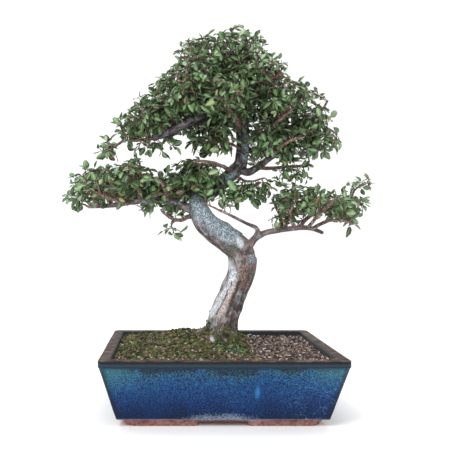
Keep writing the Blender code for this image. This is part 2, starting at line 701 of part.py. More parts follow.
def spray_roots(wood):
    """Where each spray starts, just clear of the wood's skin, and which way it points there."""
    roots = {}
    routes = dict(BRANCH_ROUTES, trunk=TRUNK_ROUTE)
    lines = {}
    for name, route in routes.items():
        lines[name] = [place for place, _ in smooth_route(route, TRUNK_STEP)]
    seats = {name: (name, 1, None) for name in lines if name not in SAWN_STUBS}
    seats["leader_top"] = seats.pop("trunk")
    seats.update(SIDE_SPRAYS)
    for name, (branch, share, towards) in seats.items():
        point, along = place_along(lines[branch], length_of(lines[branch]) * share)
        direction = along
        if towards:
            direction = Vector(towards) - along * along.dot(Vector(towards))
            direction.normalize()
        hit, normal = wood.ray_cast(point + direction * SEAT_REACH, -direction)[:2]
        roots[name] = (hit + normal * CLEARANCE, normal)
    return roots


def shoot_route(start, direction, target, draw):
    """A fine line that leaves along a direction and bends towards its target."""
    span = target - start
    side = Vector((draw.uniform(-1, 1), draw.uniform(-1, 1), 1)) * span.length
    early = start + direction * span.length * SHOOT_LEAVES + side * SHOOT_EARLY_ARCH
    late = target - span * SHOOT_ARRIVES + side * SHOOT_ARCH
    line = []
    for i in range(STEM_SAMPLES + 1):
        t = i / STEM_SAMPLES
        curve = start * (1 - t) ** 3 + early * 3 * t * (1 - t) ** 2
        line.append(curve + late * 3 * t**2 * (1 - t) + target * t**3)
    return line


def length_of(line):
    return sum((line[i + 1] - line[i]).length for i in range(len(line) - 1))


def place_along(line, reach):
    """The point and direction at a distance along a line."""
    for i in range(len(line) - 1):
        step = (line[i + 1] - line[i]).length
        if reach <= step or i == len(line) - 2:
            direction = (line[i + 1] - line[i]).normalized()
            return line[i] + direction * min(reach, step), direction
        reach -= step


def stem_section(line, reach, side, grow=0):
    """A three-sided section across a shoot, top point first, and its frame (direction, side, top)."""
    point, direction = place_along(line, reach)
    side = (side - direction * side.dot(direction)).normalized()
    top = side.cross(direction)
    radius = STEM_RADIUS + (TIP_RADIUS - STEM_RADIUS) * reach / length_of(line) + grow
    ring = []
    for degrees in (90, 210, 330):
        angle = math.radians(degrees)
        ring.append(point + (side * math.cos(angle) + top * math.sin(angle)) * radius)
    return ring, (direction, side, top)


def level_side(line):
    """The level direction across a shoot's start."""
    direction = (line[1] - line[0]).normalized()
    side = direction.cross(Vector((0, 0, 1)))
    return side.normalized() if side.length > NEARLY_UPRIGHT else Vector((1, 0, 0))


def stem_joints(line, grow=0):
    """Sections across a shoot as (distance, ring, frame): its start, each blade's joint and its end."""
    total = length_of(line)
    count = max(2, round(total * (1 - LEAF_BARE) / LEAF_SPACING))
    reaches = [total * (LEAF_BARE + (1 - LEAF_BARE) * i / count) - LEAF_NECK / 2 for i in range(count)]
    side = level_side(line)
    joints = []
    for reach in [0] + reaches + [total]:
        ring, frame = stem_section(line, reach, side, grow)
        side = frame[1]
        joints.append((reach, ring, frame))
    return joints


def shoot_skin(line, blades, grow=0):
    """One closed skin for a stem with blades, by joint number, raised from its sides and its end."""
    joints = stem_joints(line, grow)
    verts = list(joints[0][1])
    faces = [(0, 1, 2)]
    low = [0, 1, 2]
    for number, (reach, ring, frame) in enumerate(joints[1:], 1):
        joint = [len(verts) + i for i in range(3)]
        verts += ring
        faces += split(skin(low, joint))
        low = joint
        last = number == len(joints) - 1
        if number not in blades:
            if last:
                faces.append(tuple(joint))
            continue
        turn, blade = blades[number]
        if last:
            top, left, right = joint
            root = [left, top, top, right]
        else:
            high = [len(verts) + i for i in range(3)]
            verts += stem_section(line, reach + LEAF_NECK, frame[1])[0]
            lower = 2 if turn > 0 else 1
            root = [joint[lower], joint[0], high[0], high[lower]]
            opened = {joint[lower], joint[0]}
            faces += split(face for face in skin(joint, high) if not opened <= set(face[:2]))
            low = high
        rings, tip = blade_rings(*blade)
        first = [len(verts) + i for i in range(4)]
        second = [len(verts) + 4 + i for i in range(4)]
        verts += rings[0] + rings[1] + [tip]
        faces += blade_skin(root, first) + blade_skin(first, second)
        faces += [(second[i], second[(i + 1) % 4], len(verts) - 1) for i in range(4)]
    return verts, faces


def edge_pierces(start, end, triangle):
    along = end - start
    hit = intersect_ray_tri(*triangle, along, start, True)
    return hit is not None and (hit - start).dot(along) < along.length_squared


def crosses_itself(verts, faces):
    """Whether two triangles of a skin cross: any two apart, or two that share one corner and part again."""
    tree = tree_of(verts, faces)
    for first, second in tree.overlap(tree):
        shared = set(faces[first]) & set(faces[second])
        if not shared:
            return True
        if len(shared) == 1:
            start, end = (verts[i] for i in faces[first] if i not in shared)
            if edge_pierces(start, end, [verts[i] for i in faces[second]]):
                return True
    return False


def bends_gently(line):
    headings = [frame[0] for _, _, frame in stem_joints(line)]
    return all(a.dot(b) > SHOOT_STRAIGHT for a, b in zip(headings, headings[1:]))


def blade_try(base, frame, turn, outward, draw):
    """One placing of a blade as (base, heading, across, normal, length)."""
    direction, side, top = frame
    scatter = Vector((draw.gauss(0, 1), draw.gauss(0, 1), draw.gauss(0, 1))) * LEAF_SCATTER
    angle = LEAF_SPREAD * draw.uniform(*LEAF_SPREAD_SHARE)
    heading = direction * math.cos(angle) + side * (turn * math.sin(angle)) if turn else direction
    heading = (heading + scatter * LEAF_HEADING_SCATTER).normalized()
    normal = top + LEAF_FACING + outward * LEAF_OUTWARD + scatter
    normal = (normal - heading * normal.dot(heading)).normalized()
    across = heading.cross(normal)
    if across.dot(direction if turn else side) < 0:
        across = -across
    return base, heading, across, normal, draw.uniform(*LEAF_LENGTH)


def choose_blades(key, line, centre, neighbours, draw):
    """The blades of a shoot, left and right in turn, that cross neither it nor anything near it."""
    joints = stem_joints(line)
    blades = {}
    side = draw.choice((-1, 1))
    for number, (_, ring, frame) in enumerate(joints[1:], 1):
        last = number == len(joints) - 1
        side = -side
        turn = 0 if last else side
        base = sum(ring, Vector()) / 3 + (Vector() if last else frame[0] * LEAF_NECK / 2)
        for _ in range(LEAF_TRIES):
            blade = blade_try(base, frame, turn, (base - centre).normalized(), draw)
            solid = kept_off_blade(*blade)
            placed = dict(blades)
            placed[number] = (turn, blade)
            if neighbours.clear(key, *solid) and not crosses_itself(*shoot_skin(line, placed)):
                neighbours.add("blade", *solid)
                blades = placed
                break
    return blades


def free_shoot(stations, goal, straight, neighbours, draw):
    """A line from a station to near a goal that bends gently and crosses nothing else, or None."""
    for _ in range(SHOOT_TRIES):
        tip = goal + Vector((draw.gauss(0, 1), draw.gauss(0, 1), draw.gauss(0, 1))) * TARGET_SCATTER
        reach = {stop: (stop[0] - tip).length * draw.uniform(1, STATION_CHOICE) for stop in stations}
        point, direction, parent = min(stations, key=reach.get)
        line = shoot_route(point + direction * straight, direction, tip, draw)
        if straight:
            line.insert(0, point)
        room = shoot_skin(line, {}, LEAF_KEEP_OFF if parent else 0)
        if bends_gently(line) and not crosses_itself(*room) and neighbours.clear(parent, *room):
            return line
    return None


def grow_shoots(spray, root, targets, neighbours, draw):
    """The lines of a stem from a branch and of shoots off it to the targets."""
    start, direction = (end.freeze() for end in root)
    ahead = start + direction * SHOOT_AHEAD
    waiting = sorted(targets, key=lambda tip: (tip - start).length) + [ahead]
    stations = [(start, direction, None)]
    shoots = []
    while waiting:
        for goal in waiting:
            line = free_shoot(stations, goal, 0 if shoots else STEM_STRAIGHT, neighbours, draw)
            if line:
                break
        else:
            break
        if not shoots:
            stations = []
            waiting.remove(ahead)
        if goal in waiting:
            waiting.remove(goal)
        key = (spray, len(shoots))
        neighbours.add(key, *shoot_skin(line, {}))
        shoots.append(line)
        reaches = [reach for reach, _, _ in stem_joints(line)[1:]]
        for low, high in zip(reaches, reaches[1:]):
            point, heading = place_along(line, (low + LEAF_NECK + high) / 2)
            stations.append((point.freeze(), heading.freeze(), key))
    return shoots


def make_sprays(trunk):
    draw = random.Random(SEED)
    neighbours = Neighbours(trunk)
    roots = spray_roots(neighbours.wood)
    ends = {name: start + direction * SHOOT_LENGTH / 3 for name, (start, direction) in roots.items()}
    share = {name: [] for name in roots}
    for target in shoot_targets(draw):
        nearest = min(roots, key=lambda name: (ends[name] - target).length)
        share[nearest].append(target)
    shoots = {name: grow_shoots(name, roots[name], tips, neighbours, draw) for name, tips in share.items()}
    sprays = []
    total = 0
    for name, grown in shoots.items():
        start, direction = roots[name]
        centre = start - direction * SHOOT_LENGTH
        chosen = []
        for number, line in enumerate(grown):
            chosen.append(choose_blades((name, number), line, centre, neighbours, draw))
        if not any(chosen):
            print("no room for", name)
            continue
        total += sum(len(blades) for blades in chosen)
        pieces = [add_object("shoot", *shoot_skin(line, blades)) for line, blades in zip(grown, chosen)]
        spray = pieces[0]
        spray.name = "spray_" + name
        if len(pieces) > 1:
            boolean(spray, pieces[1:], "UNION", "MANIFOLD")
        scraps = keep_largest_body(spray)
        print(name, len(pieces), "of", len(share[name]), "shoots", scraps, "scraps")
        sprays.append(spray)
    print("blades", total)
    return sprays


def centre_on_origin(objects):
    corners = [v.co for obj in objects for v in obj.data.vertices]
    low, high = bounds_of(corners)
    shift = Vector((-(low.x + high.x) / 2, -(low.y + high.y) / 2, -low.z))
    for obj in objects:
        obj.data.transform(Matrix.Translation(shift))
    print("shift in metres", tuple(round(value, 5) for value in shift))


def main():
    clear_scene()
    glaze = material("blue_glaze", (0.022, 0.083, 0.235), 0.3)
    screen_plastic = material("black_screen", (0.02, 0.02, 0.02), 0.6)
    earth = material("mossy_soil", (0.09, 0.08, 0.04), 0.95)
    bark = material("grey_bark", (0.27, 0.24, 0.22), 0.85)
    foliage = material("elm_leaf", (0.07, 0.15, 0.06), 0.5)
    pot = make_pot()
    screens = make_screens()
    soil = make_soil(soil_cutters())
    trunk = make_trunk()
    sprays = make_sprays(trunk)
    looks = [([pot], glaze), (screens, screen_plastic), ([soil], earth), ([trunk], bark), (sprays, foliage)]
    for objects, look in looks:
        for obj in objects:
            obj.data.materials.clear()
            obj.data.materials.append(look)
    trunk.data.shade_smooth()
    trunk.data.set_sharp_from_angle(angle=BARK_SHARP)
    centre_on_origin([obj for objects, _ in looks for obj in objects])


main()
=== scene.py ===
# Chinese elm bonsai in its glazed pot: the looks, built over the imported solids
import math
import random

import bpy
import numpy as np
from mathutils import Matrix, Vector, noise
from mathutils.kdtree import KDTree


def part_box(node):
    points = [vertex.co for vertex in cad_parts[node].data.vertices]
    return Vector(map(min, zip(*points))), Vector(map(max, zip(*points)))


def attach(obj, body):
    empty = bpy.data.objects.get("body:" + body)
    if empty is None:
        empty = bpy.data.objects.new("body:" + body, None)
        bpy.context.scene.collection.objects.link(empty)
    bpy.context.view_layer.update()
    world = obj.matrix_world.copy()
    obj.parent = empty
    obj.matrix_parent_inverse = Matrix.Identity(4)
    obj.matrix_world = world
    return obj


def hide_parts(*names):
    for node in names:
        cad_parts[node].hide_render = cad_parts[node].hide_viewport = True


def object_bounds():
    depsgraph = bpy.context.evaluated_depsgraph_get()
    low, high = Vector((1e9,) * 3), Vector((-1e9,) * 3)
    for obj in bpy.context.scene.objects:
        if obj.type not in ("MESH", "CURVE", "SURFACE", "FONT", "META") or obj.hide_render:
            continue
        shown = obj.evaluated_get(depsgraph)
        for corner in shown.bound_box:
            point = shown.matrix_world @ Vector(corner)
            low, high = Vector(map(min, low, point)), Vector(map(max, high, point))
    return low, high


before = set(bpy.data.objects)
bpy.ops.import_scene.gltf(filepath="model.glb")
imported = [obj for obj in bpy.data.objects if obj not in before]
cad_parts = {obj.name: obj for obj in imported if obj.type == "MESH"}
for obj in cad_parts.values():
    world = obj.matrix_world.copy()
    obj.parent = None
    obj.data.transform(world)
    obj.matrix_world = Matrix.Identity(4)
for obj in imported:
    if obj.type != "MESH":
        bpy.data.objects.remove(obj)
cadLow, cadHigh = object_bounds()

noise.seed_set(7)  # else its vectors follow the clock

mm = 0.001
potLow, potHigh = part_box("pot")
potCentre = Vector(((potLow.x + potHigh.x) / 2, (potLow.y + potHigh.y) / 2, 0))  # all sizes are from here
up = Vector((0, 0, 1))


def colour(text):  # sRGB hex to the linear values that shaders mix in
    parts = [int(text[i : i + 2], 16) / 255 for i in (1, 3, 5)]
    return (*[c / 12.92 if c <= 0.04045 else ((c + 0.055) / 1.055) ** 2.4 for c in parts], 1)


def setSockets(tree, node, sockets):
    for name, value in sockets.items():
        if isinstance(value, bpy.types.NodeSocket):
            tree.links.new(value, node.inputs[name])
        else:
            node.inputs[name].default_value = colour(value) if str(value).startswith("#") else value


def addNode(tree, kind, sockets=None, stops=None, out=0, **settings):
    # a short kind takes its tree's prefix, and stops are a colour ramp's places and colours
    # out is the output to hand back, or None for all of them
    node = tree.nodes.new(kind if "Node" in kind else tree.bl_idname.removesuffix("Tree") + kind)
    for name, value in settings.items():
        setattr(node, name, value)
    setSockets(tree, node, sockets or {})
    if stops:
        while len(node.color_ramp.elements) < len(stops):
            node.color_ramp.elements.new(1)
        for element, (at, value) in zip(node.color_ramp.elements, stops):
            element.position = at
            element.color = colour(value) if isinstance(value, str) else (value, value, value, 1)
    return node.outputs if out is None else node.outputs[out]


def newMaterial(name):
    made = bpy.data.materials.new(name)
    made.use_nodes = True
    return made, made.node_tree, made.node_tree.nodes["Principled BSDF"]


def newTree(name, inputs):  # Geometry Nodes with a geometry each way and named inputs
    tree = bpy.data.node_groups.new(name, "GeometryNodeTree")
    tree.interface.new_socket("Geometry", in_out="OUTPUT", socket_type="NodeSocketGeometry")
    tree.interface.new_socket("Geometry", in_out="INPUT", socket_type="NodeSocketGeometry")
    for label, kind in inputs.items():
        tree.interface.new_socket(label, in_out="INPUT", socket_type="NodeSocket" + kind)
    return tree, addNode(tree, "NodeGroupInput", out=None)


def endTree(tree, geometry, finish):
    finished = addNode(tree, "SetMaterial", {"Geometry": geometry, "Material": finish})
    addNode(tree, "NodeGroupOutput", {0: finished}, out=None)
    return tree


def newObject(name, verts, faces, edges=()):
    mesh = bpy.data.meshes.new(name)
    mesh.from_pydata([tuple(v) for v in verts], edges, faces)
    obj = bpy.data.objects.new(name, mesh)
    bpy.context.scene.collection.objects.link(obj)
    return obj


def keepResult(obj):  # its modifiers' result becomes its own plain mesh
    graph = bpy.context.evaluated_depsgraph_get()
    mesh = bpy.data.meshes.new_from_object(obj.evaluated_get(graph))
    obj.modifiers.clear()
    obj.data = mesh
    return obj


def runTree(obj, tree, values):
    step = obj.modifiers.new(tree.name, "NODES")
    step.node_group = tree
    for socket in tree.interface.items_tree:
        if socket.in_out == "INPUT" and socket.name in values:
            step[socket.identifier] = values[socket.name]
    return keepResult(obj)


def addValues(obj, name, values, kind="FLOAT"):
    layer = obj.data.attributes.new(name, kind, "POINT")
    layer.data.foreach_set(
        "vector" if kind == "FLOAT_VECTOR" else "value", np.asarray(values, np.float32).ravel(),
    )


def smoothStep(low, high, value):
    t = min(max((value - low) / (high - low), 0), 1)
    return t * t * (3 - 2 * t)


def hiddenCollection(name, objects):  # shapes that are only instanced
    group = bpy.data.collections.new(name)
    for obj in objects:
        for owner in list(obj.users_collection):
            owner.objects.unlink(obj)
        group.objects.link(obj)
    return group


# Camera and light

view = {
    "place": (-57 * mm, -666 * mm, 197 * mm), "lens": 45.6, "sensor": 36,
    "shift": (0.12667, 0.02444),  # the photograph is framed off the lens's axis
}
camera = bpy.data.objects.new("camera", bpy.data.cameras.new("camera"))
bpy.context.scene.collection.objects.link(camera)
camera.location = potCentre + Vector(view["place"])
camera.rotation_euler = (math.radians(90), 0, 0)
camera.data.lens, camera.data.sensor_width = view["lens"], view["sensor"]
camera.data.shift_x, camera.data.shift_y = view["shift"]
bpy.context.scene.camera = camera
bpy.context.scene.view_settings.view_transform = "Standard"

lights = {  # place, size and power in watts of each soft panel
    "keyPanel": ((-0.9, -1.1, 1.7), 1.0, 22),
    "topPanel": ((0.2, 0.5, 1.9), 1.2, 12),
}
for name, (place, size, power) in lights.items():
    panel = bpy.data.lights.new(name, "AREA")
    panel.size, panel.energy = size, power
    lamp = bpy.data.objects.new(name, panel)
    lamp.location = place
    lamp.rotation_euler = (Vector((0, 0, 0.15)) - Vector(place)).to_track_quat("-Z", "Y").to_euler()
    bpy.context.scene.collection.objects.link(lamp)
world = bpy.data.worlds.new("studio")
bpy.context.scene.world = world
world.use_nodes = True
setSockets(world.node_tree, world.node_tree.nodes["Background"], {"Color": "#ffffff", "Strength": 1.0})

floorSizes = {"half": 4.0, "back": 2.4, "bend": 1.2, "height": 3.0, "steps": 12}


def makeFloor():  # a floor that bends up into a backdrop, well behind the plant
    half, back, bend = floorSizes["half"], floorSizes["back"], floorSizes["bend"]
    profile = [(-half, 0), (back, 0)]
    for i in range(1, floorSizes["steps"] + 1):
        turn = math.pi / 2 * i / floorSizes["steps"]
        profile.append((back + bend * math.sin(turn), bend * (1 - math.cos(turn))))
    profile.append((back + bend, bend + floorSizes["height"]))
    verts = [(side * half, y, z) for y, z in profile for side in (-1, 1)]
    faces = [(2 * i, 2 * i + 1, 2 * i + 3, 2 * i + 2) for i in range(len(profile) - 1)]
    floor = newObject("studio_floor", verts, faces)
    floor.data.shade_smooth()
    paper, tree, shader = newMaterial("matt white paper")  # flat and even, so only the soft shadow shows
    grain = addNode(tree, "TexNoise", {"Scale": 40})
    shade = addNode(tree, "ValToRGB", {0: grain}, [(0.3, "#fcfcfc"), (0.7, "#fefefe")])
    setSockets(tree, shader, {"Base Color": shade, "Roughness": 0.9})
    floor.data.materials.append(paper)


makeFloor()
print("floor, lights and camera made")

# Pot

potSizes = {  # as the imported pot, with finer corners and softened edges
    "width": 256 * mm, "depth": 192 * mm, "height": 71.5 * mm, "taper": 17.5 * mm, "rim": 12 * mm,
    "corner": 6 * mm, "cornerShrink": 0.3, "cornerLeast": 2 * mm, "cornerSteps": 7, "sideSteps": 18,
    "lipHeight": 7 * mm, "lipProud": 0.9 * mm, "edge": 1 * mm, "soft": 1.4 * mm, "floor": 7.5 * mm,
    "wallLow": 9 * mm, "wallSteps": 6, "footStep": 4 * mm, "footHeight": 7 * mm, "footInset": 0.5 * mm,
    "footSlopeEnds": 8 * mm, "footSlopeFront": 1 * mm, "footCorner": 8 * mm, "footThick": 24 * mm,
    "gapHeight": 5 * mm, "gapFront": 50 * mm, "gapSide": 36 * mm, "gapSlant": 5 * mm, "gapCorner": 0.4 * mm,
    "drainRadius": 8 * mm, "drainOffset": 52 * mm, "drainSteps": 32, "wave": 0.35 * mm,
    "waveLength": 45 * mm, "waveFrom": 20 * mm, "sharp": 38, "bare": (108 * mm, 76 * mm, 60 * mm),
    "bareFoot": 0.6 * mm,
}
openX = potSizes["width"] / 2 - potSizes["rim"]  # the opening's half width and half depth
openY = potSizes["depth"] / 2 - potSizes["rim"]


def roundedRectangle(width, depth, radius, z, cornerSteps, sideSteps):
    corners = []
    for signX, signY, start in [(1, 1, 0), (-1, 1, 90), (-1, -1, 180), (1, -1, 270)]:
        arc = []
        for step in range(cornerSteps + 1):
            angle = math.radians(start + 90 * step / cornerSteps)
            x = signX * (width / 2 - radius) + radius * math.cos(angle)
            y = signY * (depth / 2 - radius) + radius * math.sin(angle)
            arc.append(Vector((x, y, z)))
        corners.append(arc)
    points = []
    for i, arc in enumerate(corners):
        follow = corners[(i + 1) % 4][0]
        points += arc
        points += [arc[-1].lerp(follow, step / sideSteps) for step in range(1, sideSteps)]
    return points


def loft(name, rings, closed=False):
    count = len(rings[0])
    verts = [point + potCentre for ring in rings for point in ring]
    faces = []
    for low in range(len(rings) - (0 if closed else 1)):
        high = (low + 1) % len(rings)
        for i in range(count):
            j = (i + 1) % count
            faces.append((low * count + i, low * count + j, high * count + j, high * count + i))
    if not closed:
        faces.append(tuple(reversed(range(count))))
        faces.append(tuple(range((len(rings) - 1) * count, len(rings) * count)))
    return newObject(name, verts, faces)


def cut(target, other, operation):
    step = target.modifiers.new("cut", "BOOLEAN")
    step.operation, step.object = operation, other
    keepResult(target)
    bpy.data.objects.remove(other, do_unlink=True)


def softened(profile, reach, steps=4):  # a profile of (height, inset) with its inner corners rounded
    made = [profile[0]]
    for before, corner, after in zip(profile, profile[1:], profile[2:]):
        corner = Vector(corner)
        ends = []
        for other in (Vector(before), Vector(after)):
            ends.append(corner + (other - corner) * min(reach / (other - corner).length, 0.45))
        for step in range(steps + 1):
            t = step / steps
            made.append(tuple(ends[0] * (1 - t) ** 2 + corner * 2 * t * (1 - t) + ends[1] * t**2))
    return made + [profile[-1]]


def potRing(z, inset):
    s = potSizes
    radius = max(s["corner"] - s["cornerShrink"] * inset, s["cornerLeast"])
    size = (s["width"] - 2 * inset, s["depth"] - 2 * inset)
    return roundedRectangle(*size, radius, z, s["cornerSteps"], s["sideSteps"])


def footRing(z, inset, lean=0):
    s = potSizes
    width = s["width"] - 2 * (inset + lean * s["footSlopeEnds"])
    depth = s["depth"] - 2 * (inset + lean * s["footSlopeFront"])
    return roundedRectangle(width, depth, s["footCorner"], z, s["cornerSteps"], s["sideSteps"])


def makePot():
    s = potSizes
    floor, lip = s["footHeight"] + s["floor"], s["height"] - s["lipHeight"]
    low, steps = s["footHeight"], s["wallSteps"]
    rise, spread = lip - s["lipProud"] - low, s["lipProud"] - s["taper"]
    wall = [(low + rise * i / steps, s["taper"] + spread * i / steps) for i in range(steps + 1)]
    insideLow = s["taper"] * (s["height"] - floor) / (s["height"] - low) + s["wallLow"]
    rim = [(lip, 0), (s["height"], 0), (s["height"], s["rim"]), (floor, insideLow)]
    profile = [(low, s["taper"] + s["footStep"])] + wall + rim
    pot = loft("glazed_pot", [potRing(z, inset) for z, inset in softened(profile, s["soft"])])
    outer = s["taper"] + 2 * s["edge"] + s["footInset"]
    top, inner = low + s["edge"], outer + s["footThick"]
    foot = [footRing(0, outer, 1), footRing(top, outer), footRing(top, inner), footRing(0, inner, -1)]
    cut(pot, loft("foot", foot, True), "UNION")
    for gap, across in ((s["gapFront"], True), (s["gapSide"], False)):
        rings = []
        for z, wide in ((-s["edge"], gap + 2 * s["gapSlant"]), (s["gapHeight"], gap)):
            size = (wide, 2 * s["width"]) if across else (2 * s["width"], wide)
            rings.append(roundedRectangle(*size, s["gapCorner"], z, 1, 1))
        cut(pot, loft("cutter", rings), "DIFFERENCE")
    turns = [2 * math.pi * i / s["drainSteps"] for i in range(s["drainSteps"])]
    circle = [(s["drainRadius"] * math.cos(a), s["drainRadius"] * math.sin(a)) for a in turns]
    for middle in (-s["drainOffset"], s["drainOffset"]):
        rings = []
        for z in (low - s["edge"], floor + s["edge"]):
            rings.append([Vector((middle + x, y, z)) for x, y in circle])
        cut(pot, loft("cutter", rings), "DIFFERENCE")
    for vert in pot.data.vertices:  # hand-pressed walls are never quite flat
        if vert.co.z > low:
            sway = noise.noise_vector(vert.co / s["waveLength"]) * s["wave"]
            vert.co -= Vector((sway.x, sway.y, 0)) * min((vert.co.z - low) / s["waveFrom"], 1)
    pot.data.shade_smooth()
    pot.data.set_sharp_from_angle(angle=math.radians(s["sharp"]))
    return pot


def glazeFinish():
    # Glazed stoneware, dipped and fired: navy glass flecked with pale blue, thin and brown on its edges
    made, tree, shader = newMaterial("glazed stoneware")
    where = addNode(tree, "TexCoord", out="Object")
    where = addNode(tree, "Mapping", {"Vector": where, "Location": -potCentre})
    axes = addNode(tree, "SeparateXYZ", {0: where}, out=None)
    cloud = addNode(tree, "TexNoise", {"Vector": where, "Scale": 1 / (30 * mm), "Detail": 4})
    speck = addNode(tree, "TexNoise", {"Vector": where, "Scale": 1 / (1.4 * mm), "Detail": 3})
    height = addNode(tree, "MapRange", {0: axes["Z"], 1: 9 * mm, 2: 65 * mm})
    sway = addNode(tree, "Math", {0: cloud, 1: 0.62, 2: -0.31}, operation="MULTIPLY_ADD")
    level = addNode(tree, "Math", {0: height, 1: sway}, operation="ADD")
    deep = [
        (0, "#071228"), (0.1, "#081938"), (0.3, "#092045"), (0.6, "#0a254c"), (0.82, "#0f263c"),
        (0.94, "#111a24"),
    ]
    deep = addNode(tree, "ValToRGB", {0: level}, deep)
    pale = [
        (0, "#172f55"), (0.25, "#1a3b6e"), (0.5, "#225189"), (0.75, "#2c6295"), (0.88, "#3a6c8b"),
        (0.96, "#2a455a"),
    ]
    pale = addNode(tree, "ValToRGB", {0: level}, pale)
    fleck = addNode(tree, "MapRange", {0: speck, 1: 0.4, 2: 0.64})
    body = addNode(tree, "Mix", {0: fleck, 6: deep, 7: pale}, data_type="RGBA", out=2)
    # how far along and across each wall, measured past its slope
    slope = potSizes["taper"] / (potSizes["height"] - potSizes["footHeight"])
    past = {0: axes["Z"], 1: -slope, 2: slope * potSizes["height"]}
    past = addNode(tree, "Math", past, operation="MULTIPLY_ADD")
    reach = []
    for axis, half in (("X", potSizes["width"] / 2), ("Y", potSizes["depth"] / 2)):
        size = addNode(tree, "Math", {0: axes[axis]}, operation="ABSOLUTE")
        size = addNode(tree, "Math", {0: size, 1: past}, operation="ADD")
        reach.append(addNode(tree, "Math", {0: size, 1: half}, operation="SUBTRACT"))
    near = addNode(tree, "MapRange", {0: reach[0], 1: -46 * mm, 2: -4 * mm, 4: 0.85})
    high = addNode(tree, "MapRange", {0: axes["Z"], 1: 36 * mm, 2: 62 * mm})
    teal = addNode(tree, "Math", {0: near, 1: high}, operation="MULTIPLY")
    teal = addNode(tree, "Math", {0: teal, 1: speck}, operation="MULTIPLY")
    arris = addNode(tree, "Math", {0: reach[0], 1: reach[1]}, operation="MINIMUM")
    arris = addNode(tree, "MapRange", {0: arris, 1: -7 * mm, 2: -1.5 * mm, 4: 0.85})
    pits = addNode(tree, "TexVoronoi", {"Vector": where, "Scale": 1 / (17 * mm)})
    pits = addNode(tree, "ValToRGB", {0: pits}, [(0.05, 1.0), (0.07, 0.0)])
    # one pale run of glaze, and lime trails towards the right end
    run = addNode(tree, "Mapping", {"Vector": where, "Location": (-34 * mm, 90 * mm, -38 * mm)})
    run = addNode(tree, "VectorMath", {0: run, 1: (1, 0.1, 0.38)}, operation="MULTIPLY")
    run = addNode(tree, "VectorMath", {0: run}, operation="LENGTH", out="Value")
    run = addNode(tree, "Math", {0: speck, 1: 9 * mm, 2: run}, operation="MULTIPLY_ADD")
    run = addNode(tree, "MapRange", {0: run, 1: 7.6 * mm, 2: 5.6 * mm, 4: 0.85})
    trail = addNode(tree, "TexNoise", {"Vector": where, "Scale": 1 / (13 * mm), "Detail": 2})
    trail = addNode(tree, "ValToRGB", {0: trail}, [(0.5, 0.0), (0.512, 0.75), (0.524, 0.0)])
    right = addNode(tree, "MapRange", {0: axes["X"], 1: 52 * mm, 2: 84 * mm})
    trail = addNode(tree, "Math", {0: trail, 1: right}, operation="MULTIPLY")
    trail = addNode(tree, "Math", {0: trail, 1: fleck}, operation="MULTIPLY")
    # the lip's face is slate with a painted highlight along its middle, and its top is thin brown glaze over
    # clay
    ragged = addNode(tree, "Math", {0: speck, 1: 1.6 * mm, 2: axes["Z"]}, operation="MULTIPLY_ADD")
    slate = addNode(tree, "MapRange", {0: ragged, 1: 63.6 * mm, 2: 66 * mm})
    # the lighter stop in the middle is a painted highlight along the lip's face
    face = [(0.0, "#1a2938"), (0.3, "#1e2d3b"), (0.5, "#2b3c4a"), (0.66, "#1f252c"), (1.0, "#191718")]
    ridge = addNode(tree, "MapRange", {0: ragged, 1: 64 * mm, 2: 72 * mm})
    face = addNode(tree, "ValToRGB", {0: ridge}, face)
    lipMask = addNode(tree, "MapRange", {0: ragged, 1: 71.4 * mm, 2: 72 * mm})
    rimStain = addNode(tree, "TexNoise", {"Vector": where, "Scale": 1 / (11 * mm), "Detail": 6})
    rimStops = [(0.34, "#231c1a"), (0.47, "#41332d"), (0.58, "#54443c"), (0.7, "#77655e"), (0.8, "#aa9c99")]
    rimShade = addNode(tree, "ValToRGB", {0: rimStain}, rimStops)
    inner = addNode(tree, "Math", {0: reach[0], 1: reach[1]}, operation="MAXIMUM")
    inner = addNode(tree, "MapRange", {0: inner, 1: -10.5 * mm, 2: -11.8 * mm})
    # hard water left lime along the middle of the bottom edge
    chalk = addNode(tree, "MapRange", {0: axes["Z"], 1: 23 * mm, 2: 8 * mm})
    middle = addNode(tree, "Math", {0: axes["X"], 1: 3 * mm}, operation="ADD")
    middle = addNode(tree, "Math", {0: middle}, operation="ABSOLUTE")
    middle = addNode(tree, "MapRange", {0: middle, 1: 48 * mm, 2: 16 * mm, 3: 0.42})
    chalk = addNode(tree, "Math", {0: chalk, 1: middle}, operation="MULTIPLY")
    chalk = addNode(tree, "Math", {0: chalk, 1: speck}, operation="MULTIPLY")
    chalk = addNode(tree, "MapRange", {0: chalk, 1: 0.26, 2: 0.5, 4: 0.75})
    joint = addNode(tree, "MapRange", {0: axes["Z"], 1: 9 * mm, 2: 7.6 * mm})
    joint = addNode(tree, "Math", {0: joint, 1: rimStain}, operation="MULTIPLY")
    chalk = addNode(tree, "Math", {0: joint, 1: chalk}, operation="MAXIMUM")
    coats = [  # what lies over the glaze, one on another, the lip face with its painted highlight among it: how much of it, and its colour
        (teal, "#458592"), (arris, "#131d2b"), (pits, "#070d16"), (run, "#2d76b4"), (trail, "#7396a6"),
        (slate, face), (lipMask, rimShade), (inner, "#2a3036"), (chalk, "#8ea0b6"),
    ]
    for share, shade in coats:
        body = addNode(tree, "Mix", {0: share, 6: body, 7: shade}, data_type="RGBA", out=2)
    dull = addNode(tree, "MapRange", {0: lipMask, 3: 0.3, 4: 0.6})
    bump = addNode(tree, "Bump", {"Height": speck, "Distance": 0.12 * mm, "Strength": 0.35})
    setSockets(
        tree, shader, {"Base Color": body, "Roughness": dull, "Normal": bump, "Specular IOR Level": 0.15},
    )
    return made


